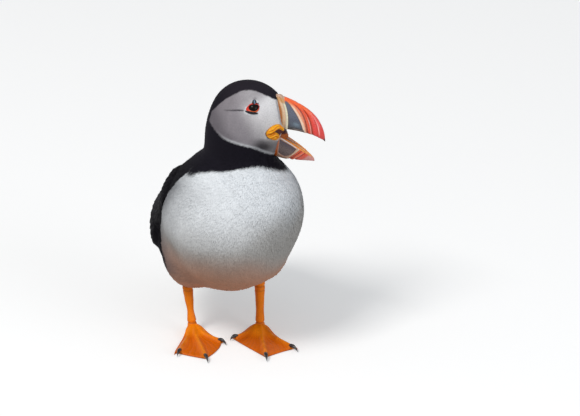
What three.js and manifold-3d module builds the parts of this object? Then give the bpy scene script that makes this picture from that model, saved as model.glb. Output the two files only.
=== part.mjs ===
// A life-size Atlantic puffin that stands on both feet, faces forward and looks over its left
// shoulder with its bill open. Millimetres, +Z up, floor at z = 0. The bird's own axes are forward,
// left and up; forward is near -Y and left is near +X.
import * as THREE from "three";
import { mergeVertices } from "three/addons/utils/BufferGeometryUtils.js";
import Module from "manifold-3d";

// ---------------------------------------------------------------------------------------------
// Driving dimensions

const TRUNK_TURN = 14; // degrees that the trunk is turned from -Y towards +X
const HEAD_TURN = 86; // degrees that the head is turned from -Y towards +X
const GAP = 0.3; // clearance between neighbouring pieces
const BIG = 400; // side of the blocks that part the body

// The plumage is a smooth union of eggs. at = forward, left, up; radii = along, side, up;
// pitch in degrees; taper = growth of the side and up radii towards the front end.
const TRUNK_EGGS = [
  { at: [4, 0, 91.5], radii: [62, 45, 36.5], pitch: 45, taper: [0, 0] },
  { at: [25, 0, 97], radii: [41, 43.5, 36.5], pitch: 50, taper: [0, 0] }, // breast
  { at: [17, 0, 71.5], radii: [44.5, 36, 29.5], pitch: 30, taper: [0, 0] }, // belly
  { at: [-31, 0, 72.5], radii: [47, 31, 18], pitch: 28, taper: [0.25, 0.25] }, // rump
  { at: [-32, 0, 59], radii: [34, 24, 17], pitch: 22, taper: [0.3, 0.2] }, // vent
  { at: [9, 0, 108], radii: [25, 35, 31.5], pitch: 60, taper: [0, 0] }, // mantle
  { at: [-8, 24.5, 57.5], radii: [20, 18, 22.5], pitch: 20, taper: [0, 0] }, // left thigh
  { at: [-8, -24.5, 57.5], radii: [20, 18, 22.5], pitch: 20, taper: [0, 0] }, // right thigh
];
const NECK_EGG = { at: [20, 3, 149.5], radii: [34, 22, 26.5], pitch: 84, taper: [0, 0] };
// The head's eggs are placed from the middle of the skull: forward, left, up along the head.
const SKULL_AT = [26, 8.5, 170.5];
const HEAD_EGGS = [
  { at: [0, 0, 0], radii: [22, 19.5, 20], pitch: -4, taper: [0, 0] }, // skull
  { at: [13, 0, -8.5], radii: [24, 12, 17], pitch: -10, taper: [-0.35, -0.15] }, // face
  { at: [11, 0, -16], radii: [18.5, 11, 10.5], pitch: -9, taper: [-0.3, 0] }, // jaw
];
const TRUNK_BLEND = 4; // softness of the joins between eggs
const HEAD_BLEND = 3;
const NECK_BLEND = 4;

// Where the bill leaves the face, in the head's forward and up.
const FOREHEAD = [18.2, 12.4];
const GAPE = [22.3, -9];
const CHIN = [14.5, -27];

const EYE = { at: [4.3, 14.5, 8.8], radius: 4.3 };
const WING = { root: [15, 121], tip: [-79, 52], thick: 10 };
const TAIL = { root: [-60, 57], tip: [-101, 37], rootHalf: 9, tipHalf: 15, thick: 3 };
const ANKLE = { right: [-24, 0], left: [21, 0] }; // x, y of each ankle over the floor
const HOCK = { right: [-29, 7], left: [20.8, 7] }; // x, y where each tarsus enters the plumage
const HOCK_UP = 44;
const ANKLE_UP = 10;
// Toes: bearing in degrees from straight ahead (-Y) towards +X, length to the base of the claw, and
// how far the claw reaches beyond it.
const TOES = {
  right: [
    { name: "outer", bearing: -16, length: 34, claw: 5.5 },
    { name: "middle", bearing: 13, length: 42, claw: 7 },
    { name: "inner", bearing: 48, length: 26, claw: 4.5 },
  ],
  left: [
    { name: "inner", bearing: -56, length: 22, claw: 4.5 },
    { name: "middle", bearing: 6, length: 39, claw: 7 },
    { name: "outer", bearing: 39, length: 34, claw: 6 },
  ],
};
const HEEL = 5; // how far the foot reaches behind the ankle
const WEB_THICK = 1.3;
const TOE_RIDGE = 2.4; // height of a toe over the web
const TOE_HALF = 2.3; // half the width of a toe

// ---------------------------------------------------------------------------------------------
// Axes and small helpers

const radians = THREE.MathUtils.degToRad;
const mix = THREE.MathUtils.lerp;

// Forward, left and up of a body turned by turn degrees and pitched up by pitch degrees.
function axesOf(turn, pitch = 0) {
  const yaw = radians(turn);
  const rise = radians(pitch);
  const forward = new THREE.Vector3(
    Math.sin(yaw) * Math.cos(rise), -Math.cos(yaw) * Math.cos(rise), Math.sin(rise));
  const left = new THREE.Vector3(Math.cos(yaw), Math.sin(yaw), 0);
  const up = new THREE.Vector3().crossVectors(forward, left);
  return { forward, left, up };
}

const trunk = axesOf(TRUNK_TURN);
const head = axesOf(HEAD_TURN);

// A point from its forward, left and up in a set of axes.
function place(axes, origin, [forward, left, up]) {
  return origin.clone()
    .addScaledVector(axes.forward, forward)
    .addScaledVector(axes.left, left)
    .addScaledVector(axes.up, up);
}

const FLOOR = new THREE.Vector3(0, 0, 0);
const onTrunk = (at) => place(trunk, FLOOR, at);
const SKULL = onTrunk(SKULL_AT);
const onHead = (at) => place(head, SKULL, at);

// A function through [x, y] stations, joined by ease(share of the way, 0 to 1).
function stationed(stations, ease) {
  return (x) => {
    if (x <= stations[0][0]) return stations[0][1];
    for (let i = 1; i < stations.length; i++) {
      const [x0, y0] = stations[i - 1];
      const [x1, y1] = stations[i];
      if (x <= x1) return mix(y0, y1, ease((x - x0) / (x1 - x0)));
    }
    return stations[stations.length - 1][1];
  };
}
const ramp = (stations) => stationed(stations, (share) => THREE.MathUtils.smoothstep(share, 0, 1));
const polyline = (stations) => stationed(stations, (share) => share);

// ---------------------------------------------------------------------------------------------
// The plumage as a field: negative inside, positive outside, in millimetres near the surface

// Distance to one egg: |q| (|q| - 1) / |q / r| for the point q scaled by the radii.
function eggField(egg, axes, origin, turn) {
  const centre = place(axes, origin, egg.at);
  const own = axesOf(turn, egg.pitch);
  const [along, side, up] = egg.radii;
  return (point) => {
    const from = point.clone().sub(centre);
    const f = from.dot(own.forward) / along;
    const sideGrowth = Math.max(1 + egg.taper[0] * f, 0.35);
    const upGrowth = Math.max(1 + egg.taper[1] * f, 0.35);
    const s = from.dot(own.left) / (side * sideGrowth);
    const u = from.dot(own.up) / (up * upGrowth);
    const size = Math.hypot(f, s, u);
    const slope = Math.hypot(f / along, s / side, u / up);
    return slope > 1e-9 ? (size * (size - 1)) / slope : -Math.min(along, side, up);
  };
}

// Smooth minimum: -k log(sum exp(-x / k)).
function blend(values, softness) {
  const least = Math.min(...values);
  const sum = values.reduce((total, value) => total + Math.exp((least - value) / softness), 0);
  return least - softness * Math.log(sum);
}

const trunkEggs = TRUNK_EGGS.map((egg) => eggField(egg, trunk, FLOOR, TRUNK_TURN));
const neckEgg = eggField(NECK_EGG, trunk, FLOOR, TRUNK_TURN);
const headEggs = HEAD_EGGS.map((egg) => eggField(egg, head, SKULL, HEAD_TURN));

// Signed distance to the plane through two points of the head's profile, positive in front of it.
function facePlane([f0, u0], [f1, u1]) {
  const run = Math.hypot(f1 - f0, u1 - u0);
  const normal = new THREE.Vector3()
    .addScaledVector(head.forward, (u0 - u1) / run)
    .addScaledVector(head.up, (f1 - f0) / run);
  const anchor = onHead([f0, 0, u0]);
  return (point) => point.clone().sub(anchor).dot(normal);
}
const upperFace = facePlane(FOREHEAD, GAPE);
const lowerFace = facePlane(GAPE, CHIN);

function plumage(point) {
  const trunkPart = blend(trunkEggs.map((egg) => egg(point)), TRUNK_BLEND);
  const whole = blend(headEggs.map((egg) => egg(point)), HEAD_BLEND);
  const headPart = Math.max(whole, upperFace(point), lowerFace(point));
  const upper = blend([neckEgg(point), headPart], HEAD_BLEND);
  return blend([trunkPart, upper], NECK_BLEND);
}

// The first r, walking out from zero, at which reached(r) turns true.
function firstCrossing(reached) {
  const stride = 2;
  let far = stride;
  while (!reached(far) && far < BIG) far += stride;
  let near = far - stride;
  for (let i = 0; i < 12; i++) {
    const middle = (near + far) / 2;
    if (reached(middle)) far = middle;
    else near = middle;
  }
  return (near + far) / 2;
}

// How far from an inside point, along a direction, the plumage ends.
function reach(origin, direction, level) {
  return firstCrossing((r) => plumage(origin.clone().addScaledVector(direction, r)) > level);
}

// ---------------------------------------------------------------------------------------------
// Closed surfaces and booleans

const wasm = await Module();
wasm.setup();

function solidOf(geometry) {
  geometry.deleteAttribute("normal");
  geometry.deleteAttribute("uv");
  const merged = mergeVertices(geometry, 1e-4);
  const vertProperties = merged.attributes.position.array;
  const triVerts = new Uint32Array(merged.index.array);
  const made = new wasm.Manifold(new wasm.Mesh({ numProp: 3, vertProperties, triVerts }));
  if (made.volume() > 0) return made;
  for (let i = 0; i < triVerts.length; i += 3) triVerts.subarray(i + 1, i + 3).reverse();
  return new wasm.Manifold(new wasm.Mesh({ numProp: 3, vertProperties, triVerts }));
}

// A sphere's net drawn over pointAt(row, angle): row 0 and the last row are single points.
function netted(rows, columns, pointAt) {
  const geometry = new THREE.SphereGeometry(1, columns, rows);
  const position = geometry.attributes.position;
  const uv = geometry.attributes.uv;
  for (let i = 0; i < position.count; i++) {
    const row = Math.round((1 - uv.getY(i)) * rows);
    const column = (i % (columns + 1)) % columns;
    const turn = row === 0 || row === rows ? 0 : (2 * Math.PI * column) / columns;
    const point = pointAt(row, turn);
    position.setXYZ(i, point.x, point.y, point.z);
  }
  return solidOf(geometry);
}

// A solid swept by section(t, angle, swell): swell is 0 on the middle of an end and 1 on its rim.
function swept(rows, columns, section) {
  return netted(rows, columns, (row, angle) => {
    const end = row === 0 || row === rows;
    const t = THREE.MathUtils.clamp((row - 1) / (rows - 2), 0, 1);
    return section(t, angle, end ? 0 : 1);
  });
}

function boxSolid(size, centre, axes = null) {
  const geometry = new THREE.BoxGeometry(...size);
  if (axes) geometry.applyMatrix4(new THREE.Matrix4().makeBasis(axes.forward, axes.left, axes.up));
  geometry.translate(centre.x, centre.y, centre.z);
  return solidOf(geometry);
}

// ---------------------------------------------------------------------------------------------
// The plumage body: rays leave a bent spine and stop at the field

// The trunk's stretch runs from the rump to the base of the neck. The upper stretch is an arc about
// a pivot under the chin, so that the rings fan round the throat and never cross.
const TRUNK_KNOTS = [
  { at: [-56, 0, 60], pitch: 26 },
  { at: [-34, 0, 68], pitch: 34 },
  { at: [-8, 0, 80], pitch: 46 },
  { at: [12, 0, 98], pitch: 64 },
  { at: [20, 0, 118], pitch: 82 },
];
const THROAT_PIVOT = [21.5, -35]; // forward and up from the middle of the skull
const ARC_RADIUS = 24;
const ARC_KNOTS = 6;
const ARC_SWEEP = 86;

function arcKnot(index) {
  const angle = (ARC_SWEEP * index) / (ARC_KNOTS - 1);
  const forward = THROAT_PIVOT[0] - ARC_RADIUS * Math.cos(radians(angle));
  const up = THROAT_PIVOT[1] + ARC_RADIUS * Math.sin(radians(angle));
  return { point: onHead([forward, 0, up]), aim: aimOf(head, 90 - angle) };
}

function aimOf(axes, pitch) {
  return new THREE.Vector3()
    .addScaledVector(axes.forward, Math.cos(radians(pitch)))
    .addScaledVector(axes.up, Math.sin(radians(pitch)));
}

const knots = [
  ...TRUNK_KNOTS.map(({ at, pitch }) => ({ point: onTrunk(at), aim: aimOf(trunk, pitch) })),
  ...Array.from({ length: ARC_KNOTS }, (_, index) => arcKnot(index)),
];
const spineCurve = new THREE.CatmullRomCurve3(knots.map((knot) => knot.point));
const aimCurve = new THREE.CatmullRomCurve3(knots.map((knot) => knot.aim));
const sideTurn = ramp([[0.3, 0], [0.75, 1]]); // the ring's side turns from the trunk's to the head's

const BODY_ROWS = 40;
const BODY_COLUMNS = 30;
const CAP_ROWS = 5;

function bodySolid(level) {
  return netted(BODY_ROWS, BODY_COLUMNS, (row, angle) => {
    const along = (row - CAP_ROWS) / (BODY_ROWS - 2 * CAP_ROWS);
    const t = THREE.MathUtils.clamp(along, 0, 1);
    const overrun = row < CAP_ROWS ? row / CAP_ROWS - 1 : Math.max((row - BODY_ROWS) / CAP_ROWS + 1, 0);
    const lean = (overrun * Math.PI) / 2;
    const aim = aimCurve.getPoint(t).normalize();
    const side = trunk.left.clone().lerp(head.left, sideTurn(t));
    side.addScaledVector(aim, -side.dot(aim)).normalize();
    const top = new THREE.Vector3().crossVectors(aim, side);
    const direction = new THREE.Vector3()
      .addScaledVector(top, Math.cos(angle) * Math.cos(lean))
      .addScaledVector(side, Math.sin(angle) * Math.cos(lean))
      .addScaledVector(aim, Math.sin(lean));
    const origin = spineCurve.getPoint(t);
    return origin.addScaledVector(direction, reach(origin, direction, level));
  });
}

const body = bodySolid(0);
const clearance = bodySolid(GAP); // the plumage and the gap around it

// The head parts from the neck on a plane under the jaw and the nape, the neck from the trunk on
// one just over the shoulders, and the back from the breast on one that slopes with the wings.
const JAW_CUT = { at: onHead([0, 0, -24]), axes: axesOf(HEAD_TURN, -13) };
const COLLAR_CUT = { at: onTrunk([30, 0, 138]), axes: axesOf(TRUNK_TURN, 3) };
const BACK_CUT = { at: onTrunk([-20, 0, 100]), axes: axesOf(TRUNK_TURN, 42) };

// The block that lies over a cut, or under it, half a gap away.
function halfSpace(cut, over) {
  const shift = over ? (BIG + GAP) / 2 : -(BIG + GAP) / 2;
  return boxSolid([BIG, BIG, BIG], place(cut.axes, cut.at, [0, 0, shift]), cut.axes);
}

// ---------------------------------------------------------------------------------------------
// Wings: a leaf outline drawn beside the body and laid on its flank

const wingUpperHalf = ramp([[0, 4], [0.1, 12], [0.33, 22], [0.55, 20], [0.8, 10], [1, 2.5]]);
const wingLowerHalf = ramp([
  [0, 4], [0.16, 16], [0.36, 21.5], [0.55, 31.5], [0.72, 22], [0.88, 10], [1, 3]]);
const wingThick = ramp([[0, 0.2], [0.2, 0.28], [0.58, 1], [0.8, 0.7], [1, 0.3]]);
const wingRest = ramp([[0, 30], [0.5, 24], [0.85, 13], [1, 10]]); // how far out it lies off the flank
const wingHug = ramp([[0.3, 1], [0.7, 0]]); // how closely it is drawn in to the shoulder
const wingDepth = ramp([[0, 5], [0.6, 5], [1, 1]]); // its inner face, before the plumage is cut away
const WING_EDGE = 1.6; // height of its rim over the flank

// How far out, beside the trunk's midline, the flank lies at a given forward and up.
function flank(forward, side, up) {
  const widest = 60;
  const origin = onTrunk([forward, side * widest, up]);
  const inward = trunk.left.clone().multiplyScalar(-side);
  const met = (r) => r > widest || plumage(origin.clone().addScaledVector(inward, r)) < 0;
  return widest - firstCrossing(met);
}

// The direction in which the plumage's field grows fastest.
function outward(point) {
  const step = 0.5;
  const slopes = ["x", "y", "z"].map((axis) => {
    const [before, after] = [point.clone(), point.clone()];
    before[axis] -= step;
    after[axis] += step;
    return plumage(after) - plumage(before);
  });
  return new THREE.Vector3(...slopes).normalize();
}

function wingSolid(side) {
  const slope = Math.atan2(WING.root[1] - WING.tip[1], WING.root[0] - WING.tip[0]);
  return swept(18, 16, (t, angle, swell) => {
    const half = (Math.cos(angle) > 0 ? wingUpperHalf(t) : wingLowerHalf(t)) * Math.cos(angle) * swell;
    const forward = mix(WING.root[0], WING.tip[0], t) - half * Math.sin(slope);
    const up = mix(WING.root[1], WING.tip[1], t) + half * Math.cos(slope);
    const rest = -blend([-flank(forward, side, up), -wingRest(t)], 2);
    const point = onTrunk([forward, side * rest, up]);
    const drawnIn = Math.max(plumage(point), 0) * wingHug(t);
    const crown = Math.max(Math.sin(angle), 0) ** 0.7;
    const lift = mix(WING_EDGE, WING.thick * wingThick(t), crown);
    const height = Math.sin(angle) < -0.01 ? -wingDepth(t) : lift;
    return point.addScaledVector(outward(point), height - drawnIn);
  });
}

// ---------------------------------------------------------------------------------------------
// Tail: a short fan, slightly arched

function tailSolid() {
  return swept(8, 12, (t, angle, swell) => {
    const half = mix(TAIL.rootHalf, TAIL.tipHalf, t);
    const across = Math.cos(angle) * half * swell;
    const rounding = 1 - 0.14 * (across / half) ** 2 * t;
    const forward = mix(TAIL.root[0], TAIL.tip[0], t * rounding);
    const arch = -0.012 * across * across;
    const thick = mix(TAIL.thick, 1.2, t) / 2;
    const up = mix(TAIL.root[1], TAIL.tip[1], t * rounding) + arch + Math.sin(angle) * thick * swell;
    return onTrunk([forward, across, up]);
  });
}

// ---------------------------------------------------------------------------------------------
// Bill: two blades, each between an upper and a lower profile curve

const profile = (...points) => new THREE.CubicBezierCurve(
  ...points.map(([forward, up]) => new THREE.Vector2(forward, up)));

const BILL_UPPER = {
  ridge: profile([17.5, 12.8], [30.5, 9.6], [45.8, -2.4], [49.4, -20.3]), // culmen
  edge: profile([20.5, -9.2], [34, -11.2], [44, -14.2], [48.6, -19.2]), // tomium
  halfRidge: ramp([[0, 2.6], [0.5, 2], [1, 0.5]]),
  halfEdge: ramp([[0, 7.6], [0.35, 6.2], [0.75, 4.2], [1, 0.8]]),
};
const BILL_LOWER = {
  ridge: profile([17.5, -14.2], [29, -19.3], [37, -25], [42.3, -31.6]), // upper edge
  edge: profile([12.5, -27.2], [18, -32.4], [32, -32.6], [42.9, -33.6]), // keel
  halfRidge: ramp([[0, 6.6], [0.5, 4.8], [1, 0.8]]),
  halfEdge: ramp([[0, 3.4], [0.5, 2.4], [1, 0.6]]),
};

function billSolid({ ridge, edge, halfRidge, halfEdge }) {
  return swept(15, 14, (t, angle, swell) => {
    const top = ridge.getPoint(t);
    const bottom = edge.getPoint(t);
    const height = (1 + Math.cos(angle) * swell) / 2;
    const half = mix(halfEdge(t), halfRidge(t), height);
    const across = Math.sign(Math.sin(angle)) * Math.abs(Math.sin(angle)) ** 0.45 * half * swell;
    return onHead([mix(bottom.x, top.x, height), across, mix(bottom.y, top.y, height)]);
  });
}

// The dark lining that closes the throat between the two blades.
function throatSolid() {
  return swept(5, 10, (t, angle, swell) => {
    const half = mix(5.6, 3.6, t) * swell;
    const top = mix(-10.2, -12.4, t);
    const bottom = mix(-14.2, -15.6, t);
    const height = (1 + Math.sin(angle) * swell) / 2;
    return onHead([mix(19, 25.5, t), Math.cos(angle) * half, mix(bottom, top, height)]);
  });
}

// A cushion on the cheek: an ellipsoid turned about the head's left.
function cushion(at, radii, tilt) {
  const geometry = new THREE.SphereGeometry(1, 12, 8);
  geometry.scale(...radii);
  geometry.rotateY(radians(tilt));
  geometry.applyMatrix4(new THREE.Matrix4().makeBasis(head.forward, head.left, head.up));
  const centre = onHead(at);
  geometry.translate(centre.x, centre.y, centre.z);
  return solidOf(geometry);
}

// ---------------------------------------------------------------------------------------------
// Legs and feet

// A round tube along a curve, radius(t) along it.
function limb(curve, radius, rows, columns) {
  const across = new THREE.Vector3(1, 0, 0);
  return swept(rows, columns, (t, angle, swell) => {
    const along = curve.getTangent(t);
    const side = across.clone().addScaledVector(along, -across.dot(along)).normalize();
    const other = new THREE.Vector3().crossVectors(along, side);
    const r = radius(t) * swell;
    return curve.getPoint(t)
      .addScaledVector(side, Math.cos(angle) * r)
      .addScaledVector(other, Math.sin(angle) * r);
  });
}

const tarsusRadius = ramp([[0, 2.7], [0.25, 2.5], [0.75, 3.6], [1, 3.7]]);

function tarsusSolid(side) {
  const foot = new THREE.Vector3(...ANKLE[side], ANKLE_UP - 2);
  const hock = new THREE.Vector3(...HOCK[side], HOCK_UP);
  const whole = limb(new THREE.LineCurve3(foot, hock), tarsusRadius, 8, 10);
  return whole.subtract(boxSolid([BIG, BIG, BIG], new THREE.Vector3(0, 0, ANKLE_UP + GAP - BIG / 2)));
}

function toeEnd(side, toe, length) {
  const [x, y] = ANKLE[side];
  const bearing = radians(toe.bearing);
  return new THREE.Vector2(x + Math.sin(bearing) * length, y - Math.cos(bearing) * length);
}

// How far the foot reaches at a bearing: the chord between two toe ends, drawn in a little between
// them, and a round heel outside the outermost toes.
function footReach(side, bearing) {
  const toes = TOES[side];
  for (let i = 1; i < toes.length; i++) {
    const [a, b] = [toes[i - 1], toes[i]];
    if (bearing < a.bearing || bearing > b.bearing) continue;
    const [before, after] = [radians(bearing - a.bearing), radians(b.bearing - bearing)];
    const share = before / (before + after);
    const chord = (a.length * b.length * Math.sin(before + after))
      / (a.length * Math.sin(before) + b.length * Math.sin(after));
    return chord * (1 - 0.2 * share * (1 - share));
  }
  const { near, past } = outsideToes(side, bearing);
  const aside = Math.sin(radians(Math.min(past, 90)));
  return Math.max(TOE_HALF / Math.max(aside, TOE_HALF / near.length), HEEL);
}

// The outermost toe on the side of a bearing, and how many degrees the bearing lies outside it.
function outsideToes(side, bearing) {
  const [first, , last] = TOES[side];
  const near = bearing < first.bearing ? first : last;
  return { near, past: Math.abs(bearing - near.bearing) };
}

// Height of the foot's upper face: a cone at the ankle that runs out into toes and web, and a
// rounded heel behind.
function footTop(side, bearing, distance, out) {
  const cone = (ANKLE_UP - WEB_THICK) * Math.exp(-((Math.max(distance - 2.6, 0) / 7.5) ** 2));
  const ridge = Math.max(...TOES[side].map((toe) => {
    const off = radians(bearing - toe.bearing);
    const aside = Math.cos(off) > 0 ? Math.abs(Math.sin(off)) * distance : distance;
    return Math.exp(-((aside / TOE_HALF) ** 2) * 1.4);
  }));
  const ahead = Math.min(WEB_THICK + Math.hypot(cone, TOE_RIDGE * ridge), ANKLE_UP);
  const behind = WEB_THICK + (ANKLE_UP - WEB_THICK) * (1 - out ** 4);
  const [first, , last] = TOES[side];
  const inFan = bearing > first.bearing && bearing < last.bearing;
  const share = inFan ? 0 : THREE.MathUtils.smoothstep(outsideToes(side, bearing).past, 20, 70);
  return mix(ahead, behind, share);
}

// Rows run from the top of the ankle out over the upper face to the rim, and back under the sole.
function footSolid(side) {
  const [x, y] = ANKLE[side];
  const upperRows = 8;
  const columns = 34;
  const [first, middle, last] = TOES[side].map((toe) => toe.bearing);
  const behind = (360 - last + first) / 2;
  // One column runs down the middle of each toe, and most of the others lie between the toes.
  const columnBearing = polyline([
    [0, first - behind], [5, first - 14], [8, first], [17, middle], [26, last], [29, last + 14],
    [34, last + behind]]);
  return netted(upperRows + 2, columns, (row, angle) => {
    const bearing = columnBearing((angle / (2 * Math.PI)) * columns);
    const sole = row > upperRows;
    const out = sole ? upperRows + 2 - row : (row / upperRows) ** 1.3;
    const distance = footReach(side, bearing) * out;
    const turn = radians(bearing);
    const height = sole ? 0 : footTop(side, bearing, distance, out);
    return new THREE.Vector3(x + Math.sin(turn) * distance, y - Math.cos(turn) * distance, height);
  });
}

function clawSolid(side, toe) {
  const from = toeEnd(side, toe, toe.length + 2 * GAP);
  const to = toeEnd(side, toe, toe.length + toe.claw);
  const crest = from.clone().lerp(to, 0.6);
  const curve = new THREE.QuadraticBezierCurve3(
    new THREE.Vector3(from.x, from.y, 2),
    new THREE.Vector3(crest.x, crest.y, 3.2),
    new THREE.Vector3(to.x, to.y, 0.45));
  return limb(curve, ramp([[0, 1.5], [0.5, 1.05], [1, 0.35]]), 6, 7);
}

// ---------------------------------------------------------------------------------------------
// The bird, one named mesh for each part

const COAT = { black: 0x1b1a1e, grey: 0xc9c6cb, white: 0xeef1f3 };
const HORN = { red: 0xe4502c, slate: 0x5f6270, yellow: 0xf2a81d, claw: 0x26252a };
const SKIN = { orange: 0xee7a12, mouth: 0x5a1a1c, eye: 0x15110f };

const bird = new THREE.Group();

function addPart(name, solid, color, roughness) {
  const { vertProperties, triVerts } = solid.getMesh();
  const geometry = new THREE.BufferGeometry();
  geometry.setAttribute("position", new THREE.BufferAttribute(vertProperties, 3));
  geometry.setIndex(new THREE.BufferAttribute(triVerts, 1));
  const material = new THREE.MeshStandardMaterial({ color, roughness, metalness: 0 });
  const mesh = new THREE.Mesh(geometry, material);
  mesh.name = name;
  bird.add(mesh);
}

// Head, neck, breast and back are one plumage parted by thin cuts; the eyes sit in sockets.
const sides = { right: -1, left: 1 };

function eyeSphere(side, radius) {
  const centre = onHead([EYE.at[0], side * EYE.at[1], EYE.at[2]]);
  const ball = new THREE.SphereGeometry(radius, 10, 8);
  ball.translate(centre.x, centre.y, centre.z);
  return solidOf(ball);
}

let headPiece = body.intersect(halfSpace(JAW_CUT, true));
for (const [name, side] of Object.entries(sides)) {
  headPiece = headPiece.subtract(eyeSphere(side, EYE.radius + GAP));
  addPart(`eye_${name}`, eyeSphere(side, EYE.radius), SKIN.eye, 0.1);
}
addPart("head", headPiece, COAT.grey, 0.9);
addPart("neck", body.intersect(halfSpace(JAW_CUT, false)).intersect(halfSpace(COLLAR_CUT, true)),
  COAT.black, 0.9);
const trunkPiece = body.intersect(halfSpace(COLLAR_CUT, false));
addPart("breast", trunkPiece.intersect(halfSpace(BACK_CUT, false)), COAT.white, 0.9);
addPart("back", trunkPiece.intersect(halfSpace(BACK_CUT, true)), COAT.black, 0.9);

for (const [name, side] of Object.entries(sides)) {
  addPart(`wing_${name}`, wingSolid(side).subtract(clearance), COAT.black, 0.85);
  addPart(`gape_${name}`, cushion([15, side * 12.8, -8.4], [6.6, 3.6, 5.9], 20).subtract(clearance),
    HORN.yellow, 0.5);
  const upperPlate = cushion([4.7, side * 14.2, 12], [1.6, 2.4, 2.6], 0);
  const lowerPlate = cushion([3, side * 18.2, 5.9], [4, 2.2, 1.1], 12);
  const socket = eyeSphere(side, EYE.radius + GAP);
  addPart(`eyeplate_upper_${name}`, upperPlate.subtract(clearance).subtract(socket), HORN.slate, 0.5);
  addPart(`eyeplate_lower_${name}`, lowerPlate.subtract(clearance), HORN.slate, 0.5);
  addPart(`tarsus_${name}`, tarsusSolid(name).subtract(clearance), SKIN.orange, 0.55);
  addPart(`foot_${name}`, footSolid(name), SKIN.orange, 0.55);
  for (const toe of TOES[name]) {
    addPart(`claw_${toe.name}_${name}`, clawSolid(name, toe), HORN.claw, 0.35);
  }
}
addPart("tail", tailSolid().subtract(clearance), COAT.black, 0.85);
addPart("bill_upper", billSolid(BILL_UPPER).subtract(clearance), HORN.red, 0.4);
addPart("bill_lower", billSolid(BILL_LOWER).subtract(clearance), HORN.red, 0.4);
addPart("throat", throatSolid().subtract(clearance), SKIN.mouth, 0.5);

// The origin is on the floor under the middle of the whole bird.
const bounds = new THREE.Box3().setFromObject(bird);
const middle = bounds.getCenter(new THREE.Vector3());
bird.position.set(-middle.x, -middle.y, 0);

const root = new THREE.Group();
root.add(bird);

export default root;
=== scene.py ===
# %% [markdown]
# # A puffin, feather by feather
# The bird is a museum model in one still pose: it stands on both webbed feet, its chest to the
# viewer, and looks over its left shoulder with the bill open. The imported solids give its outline.
# This lesson puts the looks on them: one skin, a coat of small mesh feathers that grows on it,
# wings and tail of large feathers, a horny bill, and scaled legs. Every shape is worked out with
# numpy from sizes in millimetres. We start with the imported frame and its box.

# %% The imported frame
from functools import partial
import bpy
import numpy as np
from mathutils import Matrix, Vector


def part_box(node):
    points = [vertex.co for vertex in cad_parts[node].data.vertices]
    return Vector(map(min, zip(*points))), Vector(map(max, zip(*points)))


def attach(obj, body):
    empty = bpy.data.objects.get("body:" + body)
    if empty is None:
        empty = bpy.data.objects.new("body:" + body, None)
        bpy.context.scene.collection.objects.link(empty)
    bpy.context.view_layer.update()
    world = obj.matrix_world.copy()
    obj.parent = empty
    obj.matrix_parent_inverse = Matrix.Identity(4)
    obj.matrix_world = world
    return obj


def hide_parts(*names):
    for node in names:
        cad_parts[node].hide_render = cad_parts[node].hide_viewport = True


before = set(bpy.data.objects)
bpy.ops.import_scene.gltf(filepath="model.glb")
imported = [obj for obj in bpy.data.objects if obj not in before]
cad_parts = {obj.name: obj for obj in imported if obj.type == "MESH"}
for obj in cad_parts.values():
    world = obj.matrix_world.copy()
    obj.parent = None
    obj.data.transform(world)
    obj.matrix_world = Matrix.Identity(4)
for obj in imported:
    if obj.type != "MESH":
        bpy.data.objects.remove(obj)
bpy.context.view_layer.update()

# %% [markdown]
# ## The bird's own axes
# A bird is easiest to describe from inside: forward, left and up. The trunk faces -Y, turned a
# little to +X, and the head is turned much further. Points in those axes are multiplied by a 3 x 3
# array whose rows are the axes. The right eyeball ties the bird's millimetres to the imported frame.
# An outline is a list of (x, y) stations, which `through`, `ramp` or a curve then reads.

# %% Axes of trunk and head
TRUNK_TURN = 14  # degrees that the trunk is turned from -Y towards +X
HEAD_TURN = 86  # degrees that the head is turned


def axes_of(turn, pitch=0.0):
    """Rows: forward, left and up of a body turned about Z and pitched up, both in degrees."""
    yaw, rise = np.radians(turn), np.radians(pitch)
    forward = np.array([np.sin(yaw) * np.cos(rise), -np.cos(yaw) * np.cos(rise), np.sin(rise)])
    left = np.array([np.cos(yaw), np.sin(yaw), 0.0])
    return np.array([forward, left, np.cross(forward, left)])


TRUNK = axes_of(TRUNK_TURN)
HEAD = axes_of(HEAD_TURN)
SKULL = np.array([26.0, 8.5, 170.5]) @ TRUNK  # the middle of the skull
SIDES = {"right": -1, "left": 1}


def on_trunk(points):
    """Forward, left, up of the trunk to bird millimetres."""
    return np.asarray(points, float) @ TRUNK


def on_head(points):
    """Forward, left, up of the head, from the middle of the skull, to bird millimetres."""
    return SKULL + np.asarray(points, float) @ HEAD


MM = 0.001  # metres
EYE_AT = np.array([4.3, 14.5, 8.8])  # the frame's left eyeball in the head's axes
eye_low, eye_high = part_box("eye_right")
eye_middle = 500 * (np.array(eye_low) + np.array(eye_high))  # half the sum of two corners, in mm
SHIFT = on_head(EYE_AT * [1, -1, 1]) - eye_middle
SHIFT[2] = 0  # both frames have their zero height on the floor
print("bird to packed frame, mm:", np.round(-SHIFT, 2))

# %% [markdown]
# ## From arrays to meshes
# Every piece here is a list of points and a list of faces. `make_piece` writes both into a mesh
# with `foreach_set`, which takes whole arrays, and stores a colour for each point. The colour
# attribute is what the feather and horn materials read. `net_faces` joins a grid of points whose
# columns close into a ring, with a single point at each pole. Most pieces start from `round_grid`:
# t runs down the rows and an angle runs round the columns.

# %% Colours, and curves through stations


def srgb(code):
    """A hex colour as linear red, green, blue."""
    value = np.array([int(code[i:i + 2], 16) for i in (1, 3, 5)]) / 255
    return np.where(value <= 0.04045, value / 12.92, ((value + 0.055) / 1.055) ** 2.4)


def smoothstep(x, low, high):
    """0 below low, 1 above high, level at both."""
    share = np.clip((x - low) / (high - low), 0, 1)
    return share * share * (3 - 2 * share)


def through(x, stations):
    """A line of straight stretches through (x, y) stations."""
    return np.interp(x, [s[0] for s in stations], [s[1] for s in stations])


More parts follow.
